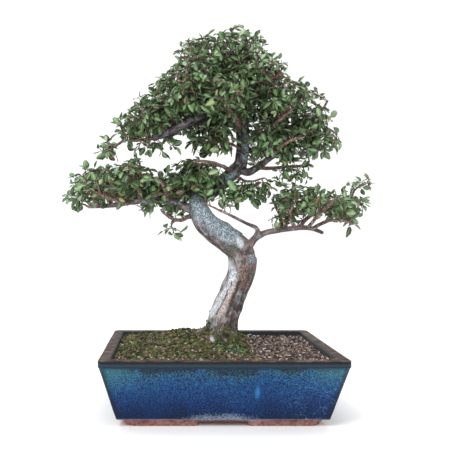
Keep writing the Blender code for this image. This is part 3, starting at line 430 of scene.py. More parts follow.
def footFinish():
    # Unglazed terracotta, pressed and fired: dry and dusty pink, with white lime bloom
    made, tree, shader = newMaterial("unglazed terracotta")
    where = addNode(tree, "TexCoord", out="Object")
    grain = addNode(tree, "TexNoise", {"Vector": where, "Scale": 1 / (3 * mm), "Detail": 5})
    body = addNode(tree, "ValToRGB", {0: grain}, [(0.3, "#5d3d39"), (0.5, "#885a54"), (0.75, "#a07b75")])
    bloom = addNode(tree, "TexNoise", {"Vector": where, "Scale": 1 / (14 * mm), "Detail": 7})
    rise = addNode(tree, "SeparateXYZ", {0: where}, out="Z")
    rise = addNode(tree, "MapRange", {0: rise, 1: 4 * mm, 2: 7.5 * mm, 4: 0.12})
    bloom = addNode(tree, "Math", {0: bloom, 1: rise}, operation="ADD")
    bloom = addNode(tree, "MapRange", {0: bloom, 1: 0.56, 2: 0.76, 4: 0.6})
    body = addNode(tree, "Mix", {0: bloom, 6: body, 7: "#ab9c9e"}, data_type="RGBA", out=2)
    bump = addNode(tree, "Bump", {"Height": grain, "Distance": 0.3 * mm, "Strength": 0.6})
    setSockets(tree, shader, {"Base Color": body, "Roughness": 0.86, "Normal": bump})
    return made


pot = makePot()
pot.data.materials.clear()
pot.data.materials.append(glazeFinish())
pot.data.materials.append(footFinish())
bareX, bareY, bareTop = potSizes["bare"]  # within these the pot is unglazed, as its foot is
for face in pot.data.polygons:
    off = face.center - potCentre
    inside = abs(off.x) < bareX and abs(off.y) < bareY and off.z < bareTop
    face.material_index = int(inside or off.z < potSizes["footHeight"] + potSizes["bareFoot"])
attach(pot, "root")
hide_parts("pot")


def screenFinish():
    # Moulded polyethylene mesh: plain, waxy and slightly dusty from the soil
    made, tree, shader = newMaterial("moulded polyethylene")
    dust = addNode(tree, "TexNoise", {"Scale": 1 / (5 * mm), "Detail": 4})
    body = addNode(tree, "ValToRGB", {0: dust}, [(0.4, "#23262a"), (0.7, "#4a4640")])
    setSockets(tree, shader, {"Base Color": body, "Roughness": 0.5})
    return made


plastic = screenFinish()
for name in ("drain_screen_left", "drain_screen_right"):
    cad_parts[name].data.materials.clear()
    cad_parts[name].data.materials.append(plastic)
print("pot made,", len(pot.data.polygons), "faces")

# Soil, moss and crumbs

soilSizes = {
    "edge": 66 * mm, "mound": 15 * mm, "moundAt": (-6 * mm, 4 * mm), "moundSpread": (58 * mm, 46 * mm),
    "leftRise": 4 * mm, "leftFrom": -20 * mm, "blend": 20 * mm, "relief": 1.3 * mm, "grain": 11 * mm,
    "fine": 0.45 * mm, "fineGrain": 2.4 * mm, "clump": 1.8 * mm, "clumpGrain": 7 * mm,
    "cushion": 7 * mm, "cushionAt": (-34 * mm, 56 * mm), "cushionSpread": (36 * mm, 26 * mm),
    "mossSide": (52 * mm, -12 * mm), "mossSway": 24 * mm, "mossGrain": 22 * mm,
    "mossFootAt": (8 * mm, -4 * mm), "mossFoot": (34 * mm, 16 * mm),
    "cell": 1.25 * mm, "clear": 0.5 * mm, "bottom": 0.3 * mm, "top": 50 * mm,
    "spill": 10 * mm, "spillCells": (80, 5), "spillFade": 5 * mm, "spillGrain": 14 * mm,
    "spillSink": 0.2 * mm,
}


def hump(x, y, place, spread):  # 1 at its place, falling off smoothly
    return math.exp(-(((x - place[0]) / spread[0]) ** 2) - ((y - place[1]) / spread[1]) ** 2)


def soilHeight(x, y):  # as the packed soil's surface
    s = soilSizes
    left = s["leftRise"] / (1 + math.exp((x - s["leftFrom"]) / s["blend"]))
    edge = max(min(1, (openY - abs(y)) / s["blend"], (openX - abs(x)) / s["blend"]), 0)
    mound = s["mound"] * hump(x, y, s["moundAt"], s["moundSpread"])
    return s["edge"] + mound + left * edge + s["relief"] * noise.noise(Vector((x, y, 0)) / s["grain"])


def mossShare(x, y):  # moss keeps to the left and the trunk's foot, crumbs to the right
    s = soilSizes
    ragged = noise.fractal(Vector((x, y, 0.3)) / s["mossGrain"], 1.0, 2.0, 3)
    side = smoothStep(*s["mossSide"], x + s["mossSway"] * ragged)
    foot = smoothStep(*s["mossFoot"], math.hypot(x - s["mossFootAt"][0], y - s["mossFootAt"][1]))
    return max(side, 0.8 * foot)


def gridFaces(columns, rows):
    wide = columns + 1
    starts = [row * wide + column for row in range(rows) for column in range(columns)]
    return [(i, i + 1, i + 1 + wide, i + wide) for i in starts]


def makeSoil():
    s = soilSizes
    halfX, halfY = openX - s["clear"], openY - s["clear"]
    columns, rows = round(2 * halfX / s["cell"]), round(2 * halfY / s["cell"])
    verts, moss = [], []
    for row in range(rows + 1):
        for column in range(columns + 1):
            x, y = halfX * (2 * column / columns - 1), halfY * (2 * row / rows - 1)
            share = mossShare(x, y)
            lump = noise.noise(Vector((x, y, 0.7)) / s["clumpGrain"])
            z = soilHeight(x, y) + s["clump"] * lump * (0.4 + 0.6 * share)
            z += s["fine"] * noise.noise(Vector((x, y, 0)) / s["fineGrain"])
            z += s["cushion"] * share * hump(x, y, s["cushionAt"], s["cushionSpread"])
            verts.append(Vector((x, y, z)) + potCentre)
            moss.append(share)
    wide = columns + 1
    faces = gridFaces(columns, rows)
    border = list(range(wide)) + [row * wide + columns for row in range(1, rows + 1)]
    border += list(range(rows * wide + columns - 1, rows * wide - 1, -1))
    border += [row * wide for row in range(rows - 1, 0, -1)]
    p = potSizes
    floor = p["footHeight"] + p["floor"] + s["bottom"]
    inset = p["taper"] * (p["height"] - floor) / (p["height"] - p["footHeight"]) + p["wallLow"]
    shrink = (p["width"] / 2 - inset - s["clear"]) / halfX, (p["depth"] / 2 - inset - s["clear"]) / halfY
    start = len(verts)
    for i in border:
        place = verts[i] - potCentre
        verts.append(Vector((place.x * shrink[0], place.y * shrink[1], floor)) + potCentre)
    moss += [0] * len(border)
    for i in range(len(border)):
        j = (i + 1) % len(border)
        faces.append((start + i, start + j, border[j], border[i]))
    faces.append(tuple(reversed(range(start, start + len(border)))))
    soil = newObject("mossy_soil", verts, faces)
    addValues(soil, "moss", moss)
    soil.data.shade_smooth()
    return soil


def tuftShape(name, leaflets, seed):  # a rosette of thin leaflets, one unit across
    rng = random.Random(seed)
    verts, faces = [], []
    for i in range(leaflets):
        turn = 2 * math.pi * (i + rng.uniform(-0.3, 0.3)) / leaflets
        rise = rng.uniform(0.25, 0.95)
        heading = Vector((math.cos(turn), math.sin(turn), rise)).normalized() * rng.uniform(0.4, 0.62)
        side = Vector((-math.sin(turn), math.cos(turn), 0)) * rng.uniform(0.09, 0.15)
        middle = heading * 0.5
        start = len(verts)
        verts += [
            Vector((0, 0, -0.12)), middle + side, middle - side + up * 0.02, middle + up * 0.09, heading,
        ]
        faces += [(0, 1, 3), (0, 3, 2), (0, 2, 1), (4, 3, 1), (4, 2, 3), (4, 1, 2)]
        faces[-6:] = [tuple(start + k for k in face) for face in faces[-6:]]
    return newObject(name, verts, faces)


def crumbShape(name, stretch, seed):  # a broken crumb, one unit long
    rng = random.Random(seed)
    gold = (1 + 5**0.5) / 2
    points = [(0, 1, gold), (0, -1, gold), (0, 1, -gold), (0, -1, -gold), (1, gold, 0), (-1, gold, 0)]
    points += [(1, -gold, 0), (-1, -gold, 0), (gold, 0, 1), (-gold, 0, 1), (gold, 0, -1), (-gold, 0, -1)]
    faces = [
        (0, 1, 8), (0, 8, 4), (0, 4, 5), (0, 5, 9), (0, 9, 1), (3, 2, 10), (3, 10, 6), (3, 6, 7),
        (3, 7, 11), (3, 11, 2),
    ]
    faces += [
        (1, 6, 8), (8, 6, 10), (8, 10, 4), (4, 10, 2), (4, 2, 5), (5, 2, 11), (5, 11, 9), (9, 11, 7),
        (9, 7, 1), (1, 7, 6),
    ]
    verts = []
    for point in points:
        place = Vector(point).normalized() * 0.5 * rng.uniform(0.72, 1.15)
        verts.append(Vector((place.x * stretch[0], place.y * stretch[1], place.z * stretch[2])))
    return newObject(name, verts, faces)


def scatterTree():
    inputs = {
        "Shapes": "Collection", "Share": "String", "Density": "Float", "Smallest": "Float",
        "Largest": "Float",
    }
    inputs.update({"Tilt": "Float", "Seed": "Int", "Finish": "Material"})
    tree, given = newTree("scatter on the soil", inputs)
    share = addNode(tree, "InputNamedAttribute", {"Name": given["Share"]}, data_type="FLOAT")
    dense = addNode(tree, "ShaderNodeMath", {0: share, 1: given["Density"]}, operation="MULTIPLY")
    spread = {"Mesh": given["Geometry"], "Density": dense, "Seed": given["Seed"]}
    points = addNode(tree, "DistributePointsOnFaces", spread, out=None)
    size = {2: given["Smallest"], 3: given["Largest"], "Seed": given["Seed"]}
    size = addNode(tree, "FunctionNodeRandomValue", size, data_type="FLOAT", out=1)
    shapes = {"Collection": given["Shapes"], "Separate Children": True, "Reset Children": True}
    shapes = addNode(tree, "CollectionInfo", shapes)
    placed = {
        "Points": points[0], "Instance": shapes, "Pick Instance": True, "Rotation": points[2],
        "Scale": size,
    }
    placed = addNode(tree, "InstanceOnPoints", placed)
    tilt = addNode(tree, "ShaderNodeMath", {0: given["Tilt"], 1: -1}, operation="MULTIPLY")
    least = addNode(tree, "ShaderNodeCombineXYZ", {0: tilt, 1: tilt, 2: -math.pi})
    most = addNode(tree, "ShaderNodeCombineXYZ", {0: given["Tilt"], 1: given["Tilt"], 2: math.pi})
    turn = addNode(tree, "FunctionNodeRandomValue", {0: least, 1: most, "Seed": 5}, data_type="FLOAT_VECTOR")
    placed = addNode(tree, "RotateInstances", {0: placed, "Rotation": turn})
    tone = addNode(tree, "FunctionNodeRandomValue", {"Seed": 9}, data_type="FLOAT", out=1)
    stored = {"Geometry": placed, "Name": "tone", "Value": tone}
    stored = addNode(tree, "StoreNamedAttribute", stored, data_type="FLOAT", domain="INSTANCE")
    whole = addNode(tree, "RealizeInstances", {"Geometry": stored})
    return endTree(tree, whole, given["Finish"])


def soilFinish():
    # Akadama and bark crumbs under moss: dull and granular, damp brown to beige, green where moss holds
    made, tree, shader = newMaterial("mossy potting soil")
    where = addNode(tree, "TexCoord", out="Object")
    cells = addNode(tree, "TexVoronoi", {"Vector": where, "Scale": 1 / (2.2 * mm)}, out=None)
    tone = addNode(tree, "SeparateColor", {0: cells["Color"]})
    earth = [(0.1, "#241d1c"), (0.4, "#4a3d36"), (0.65, "#6a5a4d"), (0.9, "#8f8275")]
    earth = addNode(tree, "ValToRGB", {0: tone}, earth)
    clump = addNode(tree, "TexNoise", {"Vector": where, "Scale": 1 / (5 * mm), "Detail": 5})
    green = [(0.34, "#2a2419"), (0.48, "#3e4226"), (0.62, "#56612f"), (0.76, "#7b8446")]
    green = addNode(tree, "ValToRGB", {0: clump}, green)
    share = addNode(tree, "Attribute", attribute_name="moss", out="Fac")
    body = addNode(tree, "Mix", {0: share, 6: earth, 7: green}, data_type="RGBA", out=2)
    height = addNode(tree, "Math", {0: cells["Distance"], 1: clump}, operation="SUBTRACT")
    bump = addNode(tree, "Bump", {"Height": height, "Distance": 0.9 * mm, "Strength": 0.7})
    setSockets(tree, shader, {"Base Color": body, "Roughness": 0.93, "Normal": bump})
    return made


def toneFinish(name, stops, roughness, grain):
    made, tree, shader = newMaterial(name)
    where = addNode(tree, "TexCoord", out="Object")
    tone = addNode(tree, "Attribute", attribute_name="tone", out="Fac")
    patch = addNode(tree, "TexNoise", {"Vector": where, "Scale": 1 / grain, "Detail": 3})
    mixed = addNode(tree, "Math", {0: patch, 1: 1.1, 2: tone}, operation="MULTIPLY_ADD")
    level = addNode(tree, "Math", {0: mixed, 1: 0.55}, operation="SUBTRACT")
    body = addNode(tree, "ValToRGB", {0: level}, stops)
    bump = addNode(tree, "Bump", {"Height": patch, "Distance": 0.3 * mm, "Strength": 0.5})
    setSockets(tree, shader, {"Base Color": body, "Roughness": roughness, "Normal": bump})
    return made


# Cushion moss: soft and matt, from deep green to dry yellow-brown tips
mossStops = [
    (0.03, "#14170f"), (0.2, "#2a391a"), (0.38, "#465a2a"), (0.52, "#6c7f3b"), (0.62, "#8d9350"),
    (0.72, "#4f392d"), (0.86, "#80604d"), (0.97, "#b39a88"),
]
# Young moss that keeps wet at the trunk's foot: soft, deep and bluish green
wetMossStops = [(0.05, "#12251a"), (0.35, "#235233"), (0.6, "#3a8048"), (0.8, "#5fa05a"), (0.95, "#8aa860")]
# Broken bark and baked clay: dull, near black to bleached pinkish beige
crumbStops = [
    (0.1, "#120e0f"), (0.34, "#2a201f"), (0.56, "#4f3c36"), (0.75, "#7e675e"), (0.9, "#ab968e"),
    (0.98, "#d0c3be"),
]

scatters = {  # piece: shape, finish, share of the surface, pieces per square metre, sizes, tilt, seed
    "moss_tufts": ("tuft", "moss", "moss", 84000, 2.8 * mm, 6.2 * mm, 0.35, 3),
    "wet_moss": ("tuft", "wetMoss", "wet", 60000, 3 * mm, 6 * mm, 0.4, 7),
    "soil_crumbs": ("crumb", "crumb", "bare", 95000, 1.4 * mm, 4.2 * mm, 1.2, 4),
    "bark_chips": ("chip", "bark", "bare", 16000, 4 * mm, 9 * mm, 0.4, 6),
    "spilled_moss": ("tuft", "moss", "spill", 60000, 2.2 * mm, 4 * mm, 0.3, 8),
    "spilled_crumbs": ("crumb", "crumb", "spill", 200000, 1 * mm, 2.6 * mm, 1.2, 9),
    "trunk_moss": ("tuft", "moss", "mossy", 190000, 2.2 * mm, 5 * mm, 0.5, 12),
}
looseShapes = {
    "tuft": hiddenCollection("tufts", [tuftShape(f"tuft{i}", 5 + i, i) for i in range(3)]),
    "crumb": hiddenCollection("crumbs", [crumbShape(f"crumb{i}", (1, 0.8, 0.7), i) for i in range(4)]),
    "chip": hiddenCollection("chips", [crumbShape(f"chip{i}", (1, 0.4, 0.22), 20 + i) for i in range(3)]),
}
looseFinishes = {
    "moss": toneFinish("cushion moss", mossStops, 0.85, 9 * mm),
    "wetMoss": toneFinish("wet cushion moss", wetMossStops, 0.7, 9 * mm),
    "crumb": toneFinish("baked clay crumbs", crumbStops, 0.9, 6 * mm),
    "bark": toneFinish("broken pine bark", crumbStops, 0.85, 4 * mm),
}
scatterOver = scatterTree()


def scatter(name, base):
    shape, finish, share, density, smallest, largest, tilt, seed = scatters[name]
    piece = newObject(name, [], [])
    piece.data = base.data.copy()
    values = {"Shapes": looseShapes[shape], "Share": share, "Density": density, "Smallest": smallest}
    values.update({"Largest": largest, "Tilt": tilt, "Seed": seed, "Finish": looseFinishes[finish]})
    runTree(piece, scatterOver, values)
    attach(piece, "root")
    print(name, len(piece.data.polygons), "faces")


def rimStrip():  # the rim's top at the front, where soil has spilled
    s = soilSizes
    columns, rows = s["spillCells"]
    z = potSizes["height"] - s["spillSink"]
    verts, share = [], []
    for row in range(rows + 1):
        for column in range(columns + 1):
            x, off = openX * (2 * column / columns - 1), s["spill"] * row / rows
            verts.append(Vector((x, -openY - off, z)) + potCentre)
            ragged = noise.noise(Vector((x, 0, 0.5)) / s["spillGrain"])
            share.append(max(1.1 - off / s["spillFade"] + 1.2 * ragged, 0))
    # its rows run forwards, so these face up
    faces = [(a, d, c, b) for a, b, c, d in gridFaces(columns, rows)]
    strip = newObject("rim strip", verts, faces)
    addValues(strip, "spill", share)
    return strip


def makeSoilPieces():
    soil = makeSoil()
    share = np.zeros(len(soil.data.vertices), np.float32)
    soil.data.attributes["moss"].data.foreach_get("value", share)
    top = np.array([v.co.z > soilSizes["top"] for v in soil.data.vertices])
    addValues(soil, "bare", np.where(top, 1 - 0.6 * share, 0))
    wet = []
    for vert in soil.data.vertices:
        x, y = (vert.co.x - potCentre.x) / mm, (vert.co.y - potCentre.y) / mm
        ragged = noise.noise(vert.co / (6 * mm))
        wet.append(smoothStep(34, 10, math.hypot(x - 12, (y + 34) * 1.3) + 14 * ragged))
    addValues(soil, "wet", np.where(top, wet, 0))
    soil.data.materials.append(soilFinish())
    for name in ("moss_tufts", "wet_moss", "soil_crumbs", "bark_chips"):
        scatter(name, soil)
    strip = rimStrip()
    for name in ("spilled_moss", "spilled_crumbs"):
        scatter(name, strip)
    bpy.data.objects.remove(strip, do_unlink=True)
    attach(soil, "root")
    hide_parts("soil")


makeSoilPieces()
print("soil made")

# Wood: routes as (x, y, z, radius) in millimetres from the middle of the pot, root to tip

trunkRoute = [
    (5, 0, 34, 16), (5, 0, 56, 19), (6, 0, 75, 20.5), (6, 0, 86, 18.5), (8, 0, 101, 16.7),
    (17, 0, 127, 15), (28, 0, 155, 14.7), (29, 0, 169, 15.3), (25, -2, 181, 15.3), (14, -5, 190, 14.4),
    (-11, -13, 208, 12.4), (-20, -16, 220, 11.2), (-23, -13, 231, 10.2), (-19, -4, 241, 9.4),
    (-2, 11, 252, 9.1),
    (22, 18, 273, 8.4), (31, 18, 285, 7.9), (33, 15, 313, 7.6), (30, 13, 327, 8.8), (26, 11, 340, 7.1),
    (15, 7, 372, 4.3), (7, 3, 395, 2.6), (4, 2, 404, 1.5),
]
rootRoutes = [
    [(2, -10, 86, 8), (-5, -19, 80, 6), (-12, -26, 74, 4.5), (-17, -31, 64, 3)],
    [(12, -10, 84, 7), (20, -19, 79, 5), (30, -25, 72, 3.6), (36, -28, 62, 2.6)],
    [(-6, 2, 86, 8), (-20, 2, 81, 6), (-34, 0, 75, 4.2), (-44, -2, 64, 2.8)],
    [(16, 4, 84, 8), (26, 8, 77, 5.5), (38, 13, 69, 3.8), (46, 16, 60, 2.6)],
    [(2, 12, 86, 8), (-4, 24, 80, 5.5), (-10, 36, 74, 4), (-14, 44, 64, 2.8)],
]
mainRoutes = {
    "left": [
        (-21, -15, 228, 5.7), (-34, -16, 228, 4.8), (-46, -18, 233, 4.5), (-58, -20, 237, 4.3),
        (-88, -22, 237, 3.8), (-119, -21, 232, 2.9), (-148, -18, 230, 1.8),
    ],
    "crownLeft": [
        (29, 12, 332, 6.5), (19, 10, 338, 5.9), (7, 6, 340, 5.4), (-5, 2, 340, 5.2), (-16, -3, 338, 5.4),
        (-26, -8, 332, 5.3), (-51, -15, 319, 4.8), (-75, -18, 308, 4.2),
    ],
    "crownRight": [
        (33, 15, 310, 5.4), (42, 12, 312, 4.8), (54, 8, 315, 4.3), (68, 5, 318, 4.2), (81, 2, 321, 4.2),
        (94, 0, 326, 4.3), (112, -3, 331, 3.6),
    ],
    "midRight": [
        (27, 18, 280, 5.3), (37, 12, 273, 4.8), (47, 6, 277, 4.4), (64, -4, 289, 3.3), (76, -8, 292, 2.7),
        (106, -12, 293, 1.6), (120, -13, 297, 1.1),
    ],
    "lowerRight": [
        (30, -1, 174, 6), (37, -6, 185, 4.9), (42, -9, 193, 4.4), (49, -11, 198, 3.8), (60, -13, 202, 3.4),
        (89, -15, 206, 3), (104, -16, 206, 2.7), (114, -16, 203, 2.5), (120, -16, 200, 2.1),
    ],
    "knuckle": [
        (41, -9, 192, 3.2), (46, -12, 202, 3), (43, -14, 207, 2.5), (33, -18, 211, 2), (12, -23, 221, 1.7),
        (3, -24, 225, 1.5),
    ],
}
sideRoutes = [
    [
        (-22, -14, 222, 3.4), (-34, -17, 219, 2.7), (-42, -19, 215, 2.3), (-50, -22, 215, 1.9),
        (-53, -24, 210, 1.4),
    ],
    [(-46, -20, 215, 2), (-57, -30, 219, 1.7), (-65, -34, 227, 1.3)],
    [(25, 10, 342, 4), (8, -8, 354, 3.5), (-10, -24, 359, 2.7), (-26, -38, 362, 2), (-40, -48, 364, 1.3)],
    [(23, 10, 346, 4), (8, 26, 369, 3.4), (-8, 42, 382, 2.4), (-20, 54, 389, 1.4)],
    [(22, 10, 350, 3.8), (33, -8, 363, 3.2), (47, -24, 368, 2.5), (58, -38, 371, 1.8), (67, -46, 373, 1.2)],
    [(26, 11, 340, 4), (45, 28, 358, 3.4), (64, 40, 369, 2.3), (78, 46, 374, 1.4)],
    [(16, 8, 368, 3), (2, -4, 383, 2.6), (-11, -14, 391, 1.9), (-23, -22, 398, 1.4)],
    [(12, 6, 380, 2.8), (26, 10, 396, 2.4), (41, 16, 408, 1.8), (50, 19, 414, 1.3)],
    [(-14, -3, 337, 3.5), (-32, -18, 344, 2.9), (-48, -27, 347, 2.1), (-62, -32, 346, 1.3)],
    [(7, 6, 340, 3.6), (-10, 34, 348, 3), (-27, 54, 353, 2.2), (-42, 66, 354, 1.4)],
    [(29, 12, 324, 4), (21, -14, 330, 3.2), (12, -38, 335, 2.2), (6, -60, 338, 1.4)],
    [(30, 14, 326, 4), (37, 40, 340, 3.2), (42, 62, 352, 2.2), (43, 75, 359, 1.4)],
    [(54, 8, 315, 3.2), (62, -14, 323, 2.7), (72, -32, 330, 2), (80, -44, 337, 1.3)],
    [(102, -2, 328, 2.6), (114, -6, 336, 2.1), (123, -8, 345, 1.5), (127, -8, 353, 1.2)],
    [(105, -2, 329, 2.6), (118, -8, 324, 2.1), (129, -12, 319, 1.5), (137, -14, 314, 1.1)],
    [(-58, -16, 316, 2.8), (-70, -26, 321, 2.2), (-81, -32, 324, 1.7), (-92, -36, 323, 1.2)],
    [(-72, -17, 309, 2.6), (-86, -22, 305, 1.8), (-97, -26, 304, 1.4), (-104, -28, 304, 1.1)],
    [(-88, -22, 237, 2.8), (-90, -34, 250, 2.2), (-95, -44, 262, 1.7), (-99, -50, 274, 1.2)],
    [(-103, -22, 234, 2.6), (-112, -44, 236, 2), (-123, -62, 239, 1.5), (-130, -70, 242, 1.1)],
    [
        (-72, -21, 237, 2.8), (-76, 6, 244, 2.4), (-84, 30, 253, 2.1), (-95, 50, 262, 1.6),
        (-104, 60, 269, 1.2),
    ],
    [(-119, -21, 232, 2.2), (-129, -2, 241, 1.7), (-141, 14, 252, 1.3), (-147, 23, 258, 1.1)],
    [(-135, -20, 231, 1.9), (-142, -26, 241, 1.5), (-149, -29, 249, 1.1)],
    [(-58, -20, 237, 2.6), (-59, -40, 245, 2), (-63, -56, 253, 1.5), (-69, -66, 257, 1.1)],
    [(89, -15, 206, 2.5), (81, -22, 218, 2), (81, -30, 228, 1.6), (85, -35, 235, 1.2)],
    [(93, -15, 206, 2.6), (105, -10, 219, 2.3), (122, -4, 225, 1.9), (140, 2, 230, 1.5), (152, 5, 234, 1.1)],
    [(73, -14, 204, 2.6), (74, 0, 220, 2.1), (72, 16, 233, 1.7), (70, 28, 242, 1.2)],
    [(107, -16, 205, 2.5), (120, -26, 213, 2), (131, -34, 215, 1.6), (142, -40, 212, 1.1)],
    [(103, -16, 206, 2.4), (109, -34, 219, 1.8), (116, -50, 229, 1.4), (121, -58, 237, 1.1)],
    [(47, 6, 277, 2.8), (64, 4, 277, 2.1), (82, 2, 278, 1.9), (99, -1, 279, 1.6), (107, -4, 285, 1.2)],
    [(64, -4, 289, 2.6), (72, -22, 299, 2), (80, -36, 303, 1.5), (90, -45, 304, 1.1)],
    [(55, 1, 283, 2.9), (70, 22, 298, 2.3), (84, 36, 306, 1.4)],
    [(22, 18, 273, 3), (6, -4, 278, 2.3), (-12, -22, 281, 1.8), (-26, -34, 280, 1.3)],
    [(8, 16, 261, 2.8), (-3, 40, 269, 2), (-18, 57, 277, 1.5)],
    [(3, -24, 225, 1.4), (-6, -27, 229, 1), (-15, -29, 233, 0.7)],
    [(24, 8, 268, 1.8), (31, 0, 262, 1.5), (42, -7, 261, 1.2), (54, -10, 264, 0.9)],
    [(29, 9, 300, 1.8), (16, -2, 304, 1.5), (2, -6, 308, 1.1), (-12, -8, 306, 0.8)],
]


def smoothRoute(route, step):  # points and radii along a Catmull-Rom curve
    knots = [(Vector(stop[:3]) * mm + potCentre, stop[3] * mm) for stop in route]
    points = []
    for i in range(len(knots) - 1):
        before, after = knots[max(i - 1, 0)][0], knots[min(i + 2, len(knots) - 1)][0]
        start, startRadius = knots[i]
        end, endRadius = knots[i + 1]
        pieces = max(1, round((end - start).length / step))
        for piece in range(pieces):
            t = piece / pieces
            curve = 2 * start + (end - before) * t
            curve += (2 * before - 5 * start + 4 * end - after) * t**2
            curve += (3 * start - before - 3 * end + after) * t**3
            points.append((curve / 2, startRadius + (endRadius - startRadius) * t))
    points.append(knots[-1])
    return points


woodSizes = {
    "sides": 28, "step": 3 * mm, "voxel": 0.85 * mm, "smooth": 3, "flute": 0.07, "ridgeTwist": 12,
    "fissure": 0.95 * mm, "lump": 1.1 * mm, "swell": 1.1 * mm, "branchSides": 14, "rootFlute": 0.05,
    "branchFlute": 0.04, "grooveWidth": 9, "swellFade": (240, 225), "grooveLow": (70, 84),
    "grooveHigh": (190, 168), "silverAndPaintedLightFade": (300, 245), "moistFade": (98, 76), "mossFade": (92, 78),
    "mossLow": (66, 72),  # the fades run from one height in millimetres to another
}
# raised knobs and old cuts as (x, y, z, radius, rise) in millimetres
knobs = [
    (15, -11, 166, 7, 3.2), (9, -9, 207, 8, 2), (38, -9, 168, 10, 1.6), (-17, -22, 226, 8, 1.5),
    (33, 6, 329, 9, 2),
]
grooves = [(300, 1.2), (205, 0.8), (30, 1.3), (95, 1.5), (150, 1.2)]  # bearing from +X, depth in mm
trunkMarks = {  # on the trunk's front: lines of (x, z) stops, each line with its half width, in millimetres
    "bleached": [
        ([(19, 154), (15, 141), (6, 127), (-2, 113), (-6, 106)], 2.5), ([(14, 165), (16, 161)], 2.8),
        ([(23, 192), (26, 188)], 2.6), ([(-8, 81.5), (-5.5, 80)], 1.7),
    ],
    "cream": [([(19, 140), (12, 127), (2, 107)], 2.1)],
    "cleft": [
        ([(17, 144), (9, 127), (-1, 106)], 0.5), ([(24, 144), (17, 126), (10, 106)], 1.5),
        ([(35, 177), (40, 177)], 1), ([(29, 131), (23, 108)], 0.9),
    ],
    # bluish-grey bark and knobs, and one painted highlight: the short line at x 38 mm, z 168 to 173 mm
    "bluishAndHighlight": [
        ([(-24, 236), (-15, 220), (0, 208), (15, 197)], 7.5), ([(8, 205), (11, 202)], 6),
        ([(38, 173), (38, 168)], 2.8), ([(21, 155), (17, 147)], 2.6), ([(36, 290), (37, 312)], 3.6),
        ([(10, 263), (20, 270)], 3.2), ([(27, 130), (24, 120)], 1.6),
    ],
    "burl": [([(29, 158), (28, 144)], 4.2)],
    "reddish": [([(25, 173), (31, 174)], 1), ([(36, 165), (38, 162)], 2)],
    "greenish": [([(17, 184), (14, 177)], 4), ([(36, 160), (40, 152)], 3)],
    # a shallow dent between the roots, painted near black as painted shadow
    "hollowPaintedShadow": [([(7, 84), (11, 83)], 2)],
}
# how far each stands out, in millimetres
markRise = {"bleached": 0.5, "cleft": -1.1, "burl": 0.9, "hollowPaintedShadow": -2}


def markShares(places, lines):  # how far within the lines each (x, z) place lies, from 0 to 1
    share = np.zeros(len(places))
    for stops, half in lines:
        for start, end in zip(np.array(stops), np.array(stops)[1:]):
            run = end - start
            along = np.clip((places - start) @ run / (run @ run), 0, 1)
            gap = np.linalg.norm(places - start - along[:, None] * run, axis=1)
            share = np.maximum(share, np.clip(1.5 - 0.75 * gap / half, 0, 1))
    return share


def woodTube(points, sides, flute=0):
    verts, faces = [], []
    side, along = None, 0
    for i, (centre, radius) in enumerate(points):
        ahead, behind = points[min(i + 1, len(points) - 1)][0], points[max(i - 1, 0)][0]
        direction = (ahead - behind).normalized()
        side = side or direction.orthogonal().normalized()
        side = (side - direction * side.dot(direction)).normalized()
        other = direction.cross(side)
        along += (centre - behind).length
        for k in range(sides):
            angle, turn = 2 * math.pi * k / sides, along * woodSizes["ridgeTwist"]
            ridge = math.cos(3 * angle + turn) + 0.6 * math.cos(5 * angle - turn)
            reach = radius * (1 + flute * ridge)
            verts.append(centre + (side * math.cos(angle) + other * math.sin(angle)) * reach)
    for low in range(len(points) - 1):
        for k in range(sides):
            j = (k + 1) % sides
            faces.append((low * sides + k, low * sides + j, (low + 1) * sides + j, (low + 1) * sides + k))
    faces.append(tuple(reversed(range(sides))))
    faces.append(tuple(range((len(points) - 1) * sides, len(points) * sides)))
    return verts, faces


